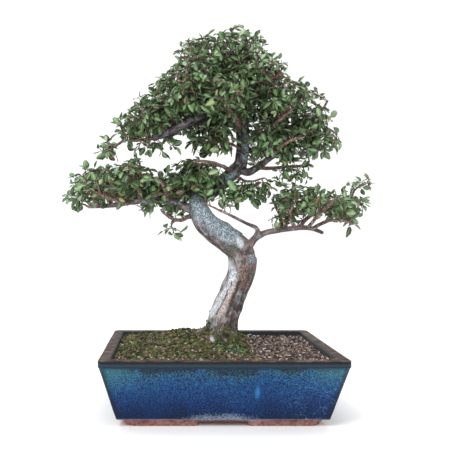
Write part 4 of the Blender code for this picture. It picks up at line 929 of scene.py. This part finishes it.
def makeWood():  # trunk, roots and main branches grown into one skin, then carved
    s = woodSizes
    verts, faces = [], []
    routes = [(trunkRoute, s["sides"], s["flute"])] + [
        (route, s["branchSides"], s["rootFlute"]) for route in rootRoutes
    ]
    routes += [(route, s["branchSides"], s["branchFlute"]) for route in mainRoutes.values()]
    guide = []  # (centre, direction, radius, distance along) for carving and colour
    for route, sides, flute in routes:
        points = smoothRoute(route, s["step"])
        made = woodTube(points, sides, flute)
        faces += [tuple(len(verts) + k for k in face) for face in made[1]]
        verts += made[0]
        along = 0
        for i, (centre, radius) in enumerate(points):
            behind = points[max(i - 1, 0)][0]
            ahead = points[min(i + 1, len(points) - 1)][0]
            along += (centre - behind).length
            guide.append((centre, (ahead - behind).normalized(), radius, along, route is trunkRoute))
    wood = newObject("elm_wood", verts, faces)
    step = wood.modifiers.new("grown together", "REMESH")
    step.mode, step.voxel_size = "VOXEL", s["voxel"]
    soften = wood.modifiers.new("soften", "SMOOTH")
    soften.factor, soften.iterations = 0.5, s["smooth"]
    keepResult(wood)
    finder = KDTree(len(guide))
    for i, stop in enumerate(guide):
        finder.insert(stop[0], i)
    finder.balance()
    places, silverAndPaintedLightShares, moist, mossy = [], [], [], []
    normals = [v.normal.copy() for v in wood.data.vertices]
    wander = [noise.noise_vector(v.co / (5 * mm)) for v in wood.data.vertices]
    spots = [((v.co - potCentre) / mm + 1.4 * w).xz for v, w in zip(wood.data.vertices, wander)]
    front = np.clip([(0.3 - n.y) / 0.4 for n in normals], 0, 1)
    marks = {name: front * markShares(np.array(spots), lines) for name, lines in trunkMarks.items()}
    for vert, normal in zip(wood.data.vertices, normals):
        place = vert.co
        # the nearest stop of the thickest wood round it
        found = finder.find_n(place, 6)
        _, index, _ = min(found, key=lambda hit: hit[2] - guide[hit[1]][2])
        centre, direction, radius, along, onTrunk = guide[index]
        away = place - centre
        away -= direction * away.dot(direction)
        bearing = math.atan2(away.y, away.x)
        side = Vector((math.cos(bearing), math.sin(bearing), 0))
        skinPlace = Vector((side.x * radius, side.y * radius, along))
        thick = min(radius / (15 * mm), 1)
        long = Vector((skinPlace.x / (5 * mm), skinPlace.y / (5 * mm), skinPlace.z / (26 * mm)))
        crack = 1 - abs(noise.fractal(long, 0.8, 2.1, 3)) * 2.2
        crack = max(crack, 0) ** 3
        lump = noise.noise(place / (13 * mm))
        z = place.z / mm
        move = (s["lump"] * lump - s["fissure"] * crack) * thick
        if onTrunk:
            move += s["swell"] * smoothStep(*s["swellFade"], z)
        for knobX, knobY, knobZ, reach, rise in knobs:
            gap = (place - potCentre - Vector((knobX, knobY, knobZ)) * mm).length / (reach * mm)
            move += rise * mm * math.exp(-2.2 * gap * gap)
        if onTrunk and s["grooveLow"][0] < z < s["grooveHigh"][0]:
            fade = smoothStep(*s["grooveLow"], z) * smoothStep(*s["grooveHigh"], z)
            for groove, depth in grooves:
                stray = 10 * noise.noise(Vector((groove, z / 22, 0)))
                off = (math.degrees(bearing) - groove - stray + 180) % 360 - 180
                move -= depth * mm * fade * math.exp(-((off / s["grooveWidth"]) ** 2))
        for name, rise in markRise.items():
            move += rise * mm * marks[name][vert.index] * thick
        vert.co = place + normal * move
        # silver old bark as painted light: the bark's grey-silver is laid on the side that faces the key
        # light from the left and the sky, so that side reads lit
        lit = normal.dot(Vector((-0.62, -0.45, 0.45)))
        mottle = noise.fractal(place / (12 * mm), 1.0, 2.0, 3)
        silverAndPaintedLight = smoothStep(0.05, 0.62, lit + 0.35 * mottle)
        if not onTrunk:
            silverAndPaintedLight *= 0.35
        if z > s["silverAndPaintedLightFade"][1]:
            silverAndPaintedLight *= smoothStep(*s["silverAndPaintedLightFade"], z) * 0.6 + 0.2
        silverAndPaintedLightShares.append(silverAndPaintedLight * (1 - 0.75 * front[vert.index]))
        low = z + 12 * mottle
        moist.append(smoothStep(*s["moistFade"], low))
        left = smoothStep(14 * mm, -6 * mm, place.x - potCentre.x)
        rootMark = max(marks["bleached"][vert.index], marks["hollowPaintedShadow"][vert.index])
        mossFrom, mossFull = s["mossFade"]
        moss = smoothStep(mossFrom + 12 * left, mossFull, low) * smoothStep(*s["mossLow"], z)
        mossy.append(moss * (1 - rootMark))
        places.append(skinPlace)
    addValues(wood, "skinPlace", [c for p in places for c in p], "FLOAT_VECTOR")
    for name, shares in {"silverAndPaintedLight": silverAndPaintedLightShares, "moist": moist, "mossy": mossy, **marks}.items():
        addValues(wood, name, shares)
    wood.data.shade_smooth()
    return wood


markColours = {  # dark, middle and light colour of what shows on the trunk
    # the bluish colours are bluish-grey bark, and at one short line a painted highlight
    "bluishAndHighlight": ["#3d494e", "#8495a0", "#bccad5"], "greenish": ["#2c2d27", "#56554a", "#77766a"],
    "cream": ["#857369", "#bcaba1", "#d9cdc5"], "bleached": ["#8f8f94", "#ccd1d8", "#e6ebf0"],
    "burl": ["#3d2b28", "#66504a", "#95807a"], "reddish": ["#4e3a3a", "#7f625f", "#a88f8c"],
    # the hollow between the roots is painted near black: painted shadow
    "cleft": ["#201a19", "#3a302d", "#5b4e49"], "hollowPaintedShadow": ["#08070a", "#100e12", "#1d191c"],
}


def barkFinish(name, carved):
    # Old elm bark: dry ridged brown, grey-silver painted on the side that faces the light as painted light,
    # painted shade on the wood high under the crown, with pale lichen and damp moss low down
    made, tree, shader = newMaterial(name)
    where = addNode(tree, "TexCoord", out="Object")
    along = where
    if carved:
        along = addNode(tree, "Attribute", attribute_name="skinPlace", out="Vector")
    stretched = addNode(tree, "Mapping", {"Vector": along, "Scale": (1, 1, 0.22 if carved else 1)})
    fibre = addNode(tree, "TexNoise", {"Vector": stretched, "Scale": 1 / (2.6 * mm), "Detail": 6})
    brown = [(0.32, "#2a2223"), (0.46, "#514445"), (0.58, "#796764"), (0.7, "#a39490"), (0.8, "#cdc2be")]
    if not carved:
        brown = [(0.32, "#33231f"), (0.46, "#5f453d"), (0.58, "#876b60"), (0.7, "#aa9187"), (0.8, "#cdbdb5")]
    body = addNode(tree, "ValToRGB", {0: fibre}, brown)
    patch = addNode(tree, "TexNoise", {"Vector": where, "Scale": 1 / (7 * mm), "Detail": 5})
    coats = []  # what is laid over the brown, one on another, painted light and shade among it: how much of it, and its colour
    if carved:
        # painted light: the silver share is highest where the bark faces the key light
        silverAndPaintedLight = addNode(tree, "Attribute", attribute_name="silverAndPaintedLight", out="Fac")
        pale = [(0.3, "#6b6a67"), (0.46, "#9a9896"), (0.6, "#c3c4c6"), (0.75, "#e6e9ed")]
        pale = addNode(tree, "ValToRGB", {0: fibre}, pale)
        coats.append((silverAndPaintedLight, pale))
        rise = addNode(tree, "SeparateXYZ", {0: where}, out="Z")
        shaded = addNode(tree, "MapRange", {0: rise, 1: 236 * mm, 2: 262 * mm, 4: 0.75})
        dark = [(0.32, "#1c181b"), (0.46, "#373134"), (0.58, "#555054"), (0.74, "#86818a")]
        dark = addNode(tree, "ValToRGB", {0: fibre}, dark)
        coats.append((shaded, dark))
    lichen = addNode(tree, "MapRange", {0: patch, 1: 0.56, 2: 0.66})
    lichen = addNode(tree, "Math", {0: lichen, 1: 0.6 if carved else 0.35}, operation="MULTIPLY")
    coats.append((lichen, "#9fb0b4"))
    if carved:
        damp = addNode(tree, "Attribute", attribute_name="moist", out="Fac")
        wet = addNode(tree, "ValToRGB", {0: patch}, [(0.4, "#3a3126"), (0.6, "#4e5a2c")])
        coats.append((damp, wet))
        pores = addNode(tree, "TexNoise", {"Vector": where, "Scale": 1 / (1.7 * mm), "Detail": 4})
        for mark, shades in markColours.items():
            shades = addNode(tree, "ValToRGB", {0: pores}, list(zip((0.36, 0.5, 0.62), shades)))
            share = addNode(tree, "Attribute", attribute_name=mark, out="Fac")
            share = addNode(tree, "Math", {0: share, 1: 0.85}, operation="MULTIPLY")
            coats.append((share, shades))
    for share, shade in coats:
        body = addNode(tree, "Mix", {0: share, 6: body, 7: shade}, data_type="RGBA", out=2)
    bump = addNode(tree, "Bump", {"Height": fibre, "Distance": 0.8 * mm, "Strength": 0.8})
    setSockets(tree, shader, {"Base Color": body, "Roughness": 0.82, "Normal": bump})
    return made


wood = makeWood()
wood.data.materials.clear()
wood.data.materials.append(barkFinish("weathered elm bark", True))
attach(wood, "root")
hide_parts("trunk")
print("trunk carved,", len(wood.data.polygons), "faces")
scatter("trunk_moss", wood)

# Side branches and twigs, drawn as lines that Geometry Nodes give their thickness


def lineTree():
    tree, given = newTree("bark round lines", {"Sides": "Int", "Finish": "Material"})
    lines = addNode(tree, "MeshToCurve", {0: given["Geometry"]})
    thick = addNode(tree, "InputNamedAttribute", {"Name": "thick"}, data_type="FLOAT")
    section = addNode(tree, "CurvePrimitiveCircle", {"Resolution": given["Sides"], "Radius": 1.0})
    skin = {"Curve": lines, "Profile Curve": section, "Scale": thick, "Fill Caps": True}
    skin = addNode(tree, "CurveToMesh", skin)
    smooth = addNode(tree, "SetShadeSmooth", {"Geometry": skin})
    whole = addNode(tree, "RealizeInstances", {"Geometry": smooth})
    return endTree(tree, whole, given["Finish"])


woodLines = lineTree()


def lineObject(name, lines, sides, finish):  # lines hold (place, radius) stops
    verts, edges, thick = [], [], []
    for line in lines:
        edges += [(len(verts) + i, len(verts) + i + 1) for i in range(len(line) - 1)]
        verts += [stop[0] for stop in line]
        thick += [stop[1] for stop in line]
    piece = newObject(name, verts, [], edges)
    addValues(piece, "thick", thick)
    runTree(piece, woodLines, {"Sides": sides, "Finish": finish})
    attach(piece, "root")
    return piece


def crooked(points, sway):  # a little uneven, as wood thickens at its buds
    made = []
    for i, (place, radius) in enumerate(points):
        bend = noise.noise_vector(place / (9 * mm)) * sway * min(i / 2, 1)
        made.append((place + bend, radius * (1 + 0.16 * noise.noise(place / (4 * mm)))))
    return made


branchSizes = {"step": 2.5 * mm, "sway": 0.9 * mm, "sides": 10}
twigBark = barkFinish("young elm bark", False)
sideLines = [smoothRoute(route, branchSizes["step"]) for route in sideRoutes]
crookedLines = [crooked(line, branchSizes["sway"]) for line in sideLines]
branches = lineObject("side_branches", crookedLines, branchSizes["sides"], twigBark)
print("side branches made,", len(branches.data.polygons), "faces")

# Foliage: leafy pads as (x, y, z, radius x, radius y, radius z, fullness, leaf scale, group), in mm

pads = {
    "leftTip": (-160, -18, 240, 25, 32, 13, 1, 1, "left"),
    "leftUnder": (-168, -20, 227, 18, 16, 9, 1, 1, "left"),
    "leftOuter": (-130, -22, 254, 43, 64, 24, 0.65, 1, "left"),
    "leftShoulder": (-124, -20, 294, 18, 28, 16, 0.8, 1, "left"),
    "leftInner": (-101, -8, 258, 37, 74, 26, 0.6, 1, "left"),
    "leftRoot": (-62, -12, 247, 34, 50, 22, 0.4, 1.15, "left"),
    "leftHang": (-82, -21, 224, 14, 16, 10, 0.8, 1, "left"),
    "rootHang": (-46, -20, 223, 18, 16, 10, 1, 1.2, "left"),
    "centre": (-29, 4, 261, 42, 50, 25, 0.42, 1.2, "left"),
    "knuckle": (3, -26, 227, 19, 15, 9, 1, 1.1, "left"),
    "hanging": (-54, -25, 203, 18, 15, 12, 1, 1.15, "left"),
    "midLeftTip": (-96, -24, 320, 26, 36, 22, 1, 1, "crownLeft"),
    "slopeLow": (-78, -8, 347, 22, 46, 17, 1, 0.95, "crownLeft"),
    "slopeHigh": (-58, -4, 367, 23, 50, 18, 1, 0.95, "crownLeft"),
    "midLeft": (-67, -10, 334, 34, 62, 29, 1, 1, "crownLeft"),
    "midLeftIn": (-37, 0, 346, 38, 74, 31, 1, 1, "crownLeft"),
    "crownLeft": (-26, 0, 373, 41, 74, 33, 1, 0.9, "crownLeft"),
    "stubHang": (-70, -20, 300, 40, 24, 14, 1, 1, "crownLeft"),
    "underCrown": (-4, 2, 309, 34, 38, 21, 1, 1.1, "crownLeft"),
    "crownTopLeft": (-24, 0, 410, 27, 42, 21, 1.2, 0.9, "crown"),
    "crownTop": (14, 4, 407, 54, 56, 33, 1.3, 0.9, "crown"),
    "crownRight": (40, 4, 380, 45, 74, 35, 1, 0.9, "crown"),
    "crownFront": (8, -10, 350, 42, 80, 29, 1, 1, "crown"),
    "besideLeader": (46, 2, 310, 14, 36, 38, 0.9, 1, "crown"),
    "rightTop": (74, 0, 350, 39, 66, 30, 1.2, 0.9, "right"),
    "rightTip": (108, -6, 329, 29, 42, 22, 1, 1, "right"),
    "shoulder": (116, -6, 345, 10, 20, 9, 0.7, 0.8, "right"),
    "rightLow": (70, 0, 304, 37, 50, 21, 1, 1, "right"),
    "rightLowTip": (114, -8, 304, 32, 36, 18, 1, 1, "right"),
    "midRight": (84, -6, 281, 36, 28, 9, 0.9, 1, "right"),
    "trunkShoot": (33, -6, 248, 38, 24, 16, 1, 1.2, "right"),
    "aboveLowerRight": (86, -12, 262, 38, 30, 10, 0.9, 1, "lowerRight"),
    "lowerRightRoot": (72, -14, 216, 20, 24, 10, 0.8, 1.1, "lowerRight"),
    "lowerRight": (95, -14, 236, 40, 54, 22, 0.55, 1, "lowerRight"),
    "lowerRightTip": (142, -14, 232, 35, 46, 19, 0.65, 1, "lowerRight"),
    "lowerRightTop": (164, -12, 254, 22, 24, 11, 1, 1, "lowerRight"),
    "lowerRightHang": (150, -16, 210, 15, 16, 8, 1, 1.1, "lowerRight"),
}
clearings = [  # (x, z) line that leaves keep off, its half width, and the y that they may stand behind
    ([(-81, 308), (-59, 317), (-46, 327), (-32, 333), (-15, 336)], 4.5, -16),
]
growth = {
    "pitch": 7.1 * mm, "margin": 9 * mm, "skin": 4 * mm, "lowest": 180 * mm, "shell": 17 * mm, "inner": 0.5,
    "step": 4.4 * mm, "reach": 40 * mm, "near": 5.6 * mm, "lift": 0.16, "waver": 0.42, "rounds": 46,
    "seed": 11, "tip": 0.5 * mm, "widest": 1.7 * mm, "young": 1 * mm, "sides": 4, "startStep": 4 * mm,
    "trunkFrom": 345 * mm,
}


def deepestPad(places):  # for each place, the pad that it lies deepest in and how deep, below zero outside
    table = np.array([pad[:6] for pad in pads.values()]) * mm
    nearest, depths = [], []
    for some in np.array_split(np.asarray(places), len(places) // 1500 + 1):
        off = some[:, None, :] - np.array(potCentre) - table[None, :, :3]
        share = np.sqrt(((off / table[None, :, 3:]) ** 2).sum(2))
        depth = (1 - share) * table[:, 3:].min(1)
        nearest.append(depth.argmax(1))
        depths.append(depth.max(1))
    return np.concatenate(nearest), np.concatenate(depths)


def findBuds(rng):  # where leaves want to be: near the pads' outsides, fewer within
    g = growth
    low = np.array(cadLow) + g["margin"]
    axes = [np.arange(low[k], cadHigh[k] - g["margin"], g["pitch"]) for k in range(3)]
    places = np.stack(np.meshgrid(*axes, indexing="ij"), -1).reshape(-1, 3)
    places += (rng.random(places.shape) - 0.5) * g["pitch"]
    nearest, depth = deepestPad(places)
    fullness = np.array([pad[6] for pad in pads.values()])[nearest]
    chance = fullness * np.where(depth < g["shell"], 1, g["inner"])
    kept = (depth > g["skin"]) & (places[:, 2] > g["lowest"]) & (rng.random(len(places)) < chance)
    return [Vector(place) for place in places[kept]]


def growTwigs(starts, buds, rng):  # twigs grow towards the buds near them, which are gone once reached
    g = growth
    places, parents = list(starts), [-1] * len(starts)
    children = [0] * len(starts)
    for _ in range(g["rounds"]):
        finder = KDTree(len(places))
        for i, place in enumerate(places):
            finder.insert(place, i)
        finder.balance()
        pulls, left = {}, []
        for bud in buds:
            place, index, gap = finder.find(bud)
            if gap < g["near"]:
                continue
            left.append(bud)
            if gap < g["reach"]:
                pulls[index] = pulls.get(index, Vector()) + (bud - place).normalized()
        buds = left
        for index, pull in pulls.items():
            if children[index] > 2:
                continue
            sway = Vector([rng.uniform(-1, 1) for _ in range(3)])
            heading = pull.normalized() + up * g["lift"] + sway * g["waver"]
            places.append(places[index] + heading.normalized() * g["step"])
            parents.append(index)
            children.append(0)
            children[index] += 1
    return places, parents


def twigLines(places, parents, starts):  # each line runs from where it leaves its parent to a tip
    tips = [0] * len(places)
    heirs = [None] * len(places)
    for i in range(len(places) - 1, starts - 1, -1):
        tips[i] = max(tips[i], 1)
        parent = parents[i]
        tips[parent] += tips[i]
        if heirs[parent] is None or tips[i] > tips[heirs[parent]]:
            heirs[parent] = i
    lines = []
    for i in range(starts, len(places)):
        parent = parents[i]
        if parent >= starts and heirs[parent] == i:
            continue
        chain = [parent, i]
        while heirs[chain[-1]] is not None:
            chain.append(heirs[chain[-1]])
        radii = [min(growth["tip"] * tips[k] ** 0.45, growth["widest"]) for k in chain[1:]]
        lines.append(list(zip([places[k] for k in chain], radii[:1] + radii)))
    return lines


leafSizes = {
    "stations": [0.12, 0.24, 0.42, 0.6, 0.78, 0.91, 1.0], "widths": [0, 0.6, 0.94, 1.0, 0.8, 0.44, 0],
    "halfWidth": 0.26, "thick": 0.018, "smallest": 7 * mm, "largest": 15.5 * mm, "skip": 0.04,
    "deep": 24 * mm, "dim": 0.6, "pair": 0.5, "partner": 0.85, "spread": 0.95, "ahead": 0.55,
    "outward": 0.75, "upward": 0.6, "loose": 0.42, "seed": 23,
}


def leafShape(name, fold, bend, twist, lean):  # an oval toothed blade on a short stalk, one unit long
    s = leafSizes
    verts, faces, spots = [], [], []
    rows = []
    for i, (v, wide) in enumerate(zip(s["stations"], s["widths"])):
        sag = -bend * (v - 0.12) ** 2
        rib = Vector((lean * math.sin(math.pi * v), v, sag))
        turn = twist * (v - 0.5)
        half = s["halfWidth"] * wide
        tooth = 0.05 * (i % 2) if 0 < i < 6 else 0
        row = {"rib": len(verts)}
        verts.append(rib)
        spots.append((0, v, 1))
        if wide:
            for key, sign in (("left", -1), ("right", 1)):
                across = half * (1 + tooth)
                edge = Vector(
                    (sign * across * math.cos(turn), tooth, fold * half + sign * across * math.sin(turn))
                )
                row[key] = len(verts)
                verts.append(rib + edge)
                spots.append((sign, v + tooth, 0))
            row["under"] = len(verts)
            verts.append(rib - Vector((0, 0, s["thick"])))
            spots.append((0, v, -1))
        rows.append(row)
    for low, high in zip(rows, rows[1:]):
        if "left" in low and "left" in high:
            faces += [
                (low["left"], low["rib"], high["rib"], high["left"]),
                (low["rib"], low["right"], high["right"], high["rib"]),
            ]
            faces += [
                (low["under"], low["left"], high["left"], high["under"]),
                (low["right"], low["under"], high["under"], high["right"]),
            ]
        elif "left" in high:
            tip = low["rib"]
            faces += [(tip, high["rib"], high["left"]), (tip, high["right"], high["rib"])]
            faces += [(tip, high["left"], high["under"]), (tip, high["under"], high["right"])]
        else:
            tip = high["rib"]
            faces += [(low["left"], low["rib"], tip), (low["rib"], low["right"], tip)]
            faces += [(low["under"], low["left"], tip), (low["right"], low["under"], tip)]
    start = len(verts)
    for angle in (90, 210, 330):
        verts.append(
            Vector((0.016 * math.cos(math.radians(angle)), -0.02, 0.016 * math.sin(math.radians(angle))))
        )
        spots.append((0, 0, 0))
    verts.append(Vector((0, 0.2, -0.004)))
    spots.append((0, 0.1, 0))
    faces += [
        (start, start + 3, start + 1), (start + 1, start + 3, start + 2), (start + 2, start + 3, start),
        (start, start + 1, start + 2),
    ]
    leaf = newObject(name, verts, faces)
    addValues(leaf, "leafPlace", [c for spot in spots for c in spot], "FLOAT_VECTOR")
    leaf.data.shade_smooth()
    return leaf


def leafTree():
    inputs = {"Leaves": "Collection", "Seed": "Int", "Finish": "Material"}
    tree, given = newTree("leaves on twigs", inputs)
    values = {}
    for name, kind in (("heading", "FLOAT_VECTOR"), ("facing", "FLOAT_VECTOR"), ("size", "FLOAT")):
        values[name] = addNode(tree, "InputNamedAttribute", {"Name": name}, data_type=kind)
    axes = {"Primary Axis": values["heading"], "Secondary Axis": values["facing"]}
    turn = addNode(tree, "FunctionNodeAxesToRotation", axes, primary_axis="Y", secondary_axis="Z")
    leaves = {"Collection": given["Leaves"], "Separate Children": True, "Reset Children": True}
    leaves = addNode(tree, "CollectionInfo", leaves)
    choice = addNode(
        tree, "FunctionNodeRandomValue", {4: 0, 5: 5, "Seed": given["Seed"]}, data_type="INT", out=2,
    )
    placed = {
        "Points": given["Geometry"], "Instance": leaves, "Pick Instance": True, "Instance Index": choice,
    }
    placed.update({"Rotation": turn, "Scale": values["size"]})
    placed = addNode(tree, "InstanceOnPoints", placed)
    whole = addNode(tree, "RealizeInstances", {"Geometry": placed})
    return endTree(tree, whole, given["Finish"])


def leafFinish():
    # Living elm leaves: waxy and glossy above, paler below, with a light midrib, fine side veins and a
    # painted highlight along the margins
    made, tree, shader = newMaterial("waxy elm leaf")
    spot = addNode(tree, "Attribute", attribute_name="leafPlace", out="Vector")
    axes = addNode(tree, "SeparateXYZ", {0: spot}, out=None)
    # tone is random, made darker as painted shade for leaves deep in their pad
    tone = addNode(tree, "Attribute", attribute_name="tone", out="Fac")
    greens = [
        (0.0, "#6a4e38"), (0.03, "#574a2c"), (0.05, "#26361b"), (0.22, "#3b5529"), (0.42, "#54773f"),
        (0.6, "#6c9159"), (0.76, "#83a978"), (0.86, "#9bb384"), (0.96, "#a5ad62"),
    ]
    body = addNode(tree, "ValToRGB", {0: tone}, greens)
    across = addNode(tree, "Math", {0: axes["X"]}, operation="ABSOLUTE")
    rib = addNode(tree, "MapRange", {0: across, 1: 0.14, 2: 0.02})
    slant = addNode(tree, "Math", {0: across, 1: -0.22, 2: axes["Y"]}, operation="MULTIPLY_ADD")
    wave = addNode(tree, "Math", {0: slant, 1: 44}, operation="MULTIPLY")
    wave = addNode(tree, "Math", {0: wave}, operation="SINE")
    vein = addNode(tree, "MapRange", {0: wave, 1: 0.82, 2: 1.0, 4: 0.35})
    lines = addNode(tree, "Math", {0: rib, 1: vein}, operation="MAXIMUM")
    # the paler margin is a painted highlight, as of light shining through the leaf's edge
    margin = addNode(tree, "MapRange", {0: across, 1: 0.72, 2: 1, 4: 0.7})
    lines = addNode(tree, "Math", {0: lines, 1: margin}, operation="MAXIMUM")
    lines = addNode(tree, "Math", {0: lines, 1: 0.5}, operation="MULTIPLY")
    under = addNode(tree, "MapRange", {0: axes["Z"], 1: -0.1, 2: -0.9, 4: 0.45})
    stalk = addNode(tree, "MapRange", {0: axes["Y"], 1: 0.11, 2: 0.1})
    coats = [(lines, "#a8c191"), (under, "#8d9e88"), (stalk, "#6c5a42")]  # one on another
    for share, shade in coats:
        body = addNode(tree, "Mix", {0: share, 6: body, 7: shade}, data_type="RGBA", out=2)
    bump = addNode(tree, "Bump", {"Height": lines, "Distance": 0.2 * mm, "Strength": 0.5}, invert=True)
    setSockets(
        tree, shader, {"Base Color": body, "Roughness": 0.4, "Normal": bump, "Specular IOR Level": 0.6},
    )
    return made


def inClearing(place):  # seen from the front, it would hide wood that was pruned free
    off = (place - potCentre - Vector(view["place"])) / mm
    shrink = -view["place"][1] / mm / off.y
    seen = np.array([[off.x * shrink + view["place"][0] / mm, off.z * shrink + view["place"][2] / mm]])
    for stops, half, back in clearings:
        if off.y + view["place"][1] / mm < back + 10 and markShares(seen, [(stops, half)])[0] > 0.5:
            return True
    return False


def leafStops(lines, rng):  # where each leaf sits, which way it points and faces, its size, its tone with painted shade deeper in its pad, and its group
    s = leafSizes
    stops = []
    around = iter(zip(*deepestPad([stop[0] for line in lines for stop in line[1:]])))
    table = list(pads.values())
    for line in lines:
        hand = rng.choice((-1, 1))
        for i in range(1, len(line)):
            nearest, depth = next(around)
            pad = table[nearest]
            place, radius = line[i]
            if radius > growth["young"]:
                continue
            last = i == len(line) - 1
            if not last and rng.random() < s["skip"] or inClearing(place):
                continue
            x, y, z, radiusX, radiusY, radiusZ, _, scale, group = pad
            off = (place - potCentre) / mm - Vector((x, y, z))
            outward = Vector((off.x / radiusX**2, off.y / radiusY**2, off.z / radiusZ**2)).normalized()
            ahead = (place - line[i - 1][0]).normalized()
            loose = Vector([rng.uniform(-1, 1) for _ in range(3)])
            facing = up * s["upward"] + outward * s["outward"] + loose * s["loose"]
            hand = -hand
            side = ahead.cross(facing).normalized() * hand
            # painted shade: leaves deep in their pad get a darker tone
            shade = 1 - s["dim"] * smoothStep(0, s["deep"], depth)
            for k in range(2 if rng.random() < s["pair"] else 1):
                sway = Vector([rng.uniform(-1, 1) for _ in range(3)]) * 0.3
                spread = -s["spread"] if k else 0 if last else s["spread"]
                heading = ahead * (1 if last and not k else s["ahead"]) + side * spread + sway
                size = rng.triangular(
                    s["smallest"], s["largest"], s["smallest"] * 1.2,
                ) * scale * s["partner"] ** k
                stops.append(
                    (place, heading.normalized(), facing.normalized(), size, rng.random() * shade, group)
                )
    return stops


sprayGroups = {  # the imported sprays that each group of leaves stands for
    "left": [
        "left", "left_a", "left_b", "left_c", "left_d", "left_e", "left_f", "left_mid", "left_far",
        "left_loop", "hanging", "knuckle", "centre_a", "centre_b",
    ],
    "crownLeft": [
        "crown_a", "crown_g", "crown_h", "stub_front", "stub_back", "stub_end", "mid_left_a", "mid_left_b",
        "leader_left",
    ],
    "crown": [
        "crown_b", "crown_c", "crown_e", "crown_f", "crown_i", "crown_j", "leader_right", "leader_front",
        "leader_top",
    ],
    "right": [
        "crown_d", "crown_k", "crown_l", "crown_m", "right_front", "right_back", "right_up", "right_under",
        "middle_up", "mid_right", "mid_right_a", "mid_right_b", "mid_right_c",
    ],
    "lowerRight": [
        "lower_right_a", "lower_right_b", "lower_right_c", "lower_right_d", "lower_right_e", "low_up",
    ],
}
pieceNames = {
    "left": "left", "crownLeft": "crown_left", "crown": "crown", "right": "right",
    "lowerRight": "lower_right",
}


def makeFoliage():
    rng = random.Random(growth["seed"])
    starts = [place for line in sideLines for place, _ in line[2:]]
    for route in mainRoutes.values():
        starts += [place for place, _ in smoothRoute(route, growth["startStep"])[3:]]
    upper = smoothRoute(trunkRoute, growth["startStep"])
    starts += [place for place, _ in upper if place.z > growth["trunkFrom"]]
    buds = findBuds(np.random.default_rng(growth["seed"]))
    places, parents = growTwigs(starts, buds, rng)
    lines = twigLines(places, parents, len(starts))
    print(len(buds), "buds,", len(places) - len(starts), "twig stops,", len(lines), "twigs")
    twigs = lineObject("twigs", lines, growth["sides"], twigBark)
    print("twigs", len(twigs.data.polygons), "faces")
    leafRng = random.Random(leafSizes["seed"])
    stops = leafStops(lines, leafRng)
    bends = [
        (0.3, 0.14, 0.3, 0.03), (0.5, -0.1, -0.4, -0.05), (0.15, 0.3, 0.2, 0.05), (0.4, 0.05, 0.7, -0.04),
        (0.7, 0.2, -0.2, 0), (0.2, 0.4, 0.5, 0.05),
    ]
    shapes = hiddenCollection("leaf shapes", [leafShape(f"leaf{i}", *bend) for i, bend in enumerate(bends)])
    tree, finish = leafTree(), leafFinish()
    for group, sprays in sprayGroups.items():
        mine = [stop for stop in stops if stop[5] == group]
        piece = newObject("leaves_" + pieceNames[group], [stop[0] for stop in mine], [])
        addValues(piece, "heading", [c for stop in mine for c in stop[1]], "FLOAT_VECTOR")
        addValues(piece, "facing", [c for stop in mine for c in stop[2]], "FLOAT_VECTOR")
        addValues(piece, "size", [stop[3] for stop in mine])
        addValues(piece, "tone", [stop[4] for stop in mine])
        runTree(piece, tree, {"Leaves": shapes, "Seed": 4, "Finish": finish})
        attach(piece, "root")
        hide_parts(*["spray_" + name for name in sprays])
        print(piece.name, len(mine), "leaves,", len(piece.data.polygons), "faces")


makeFoliage()
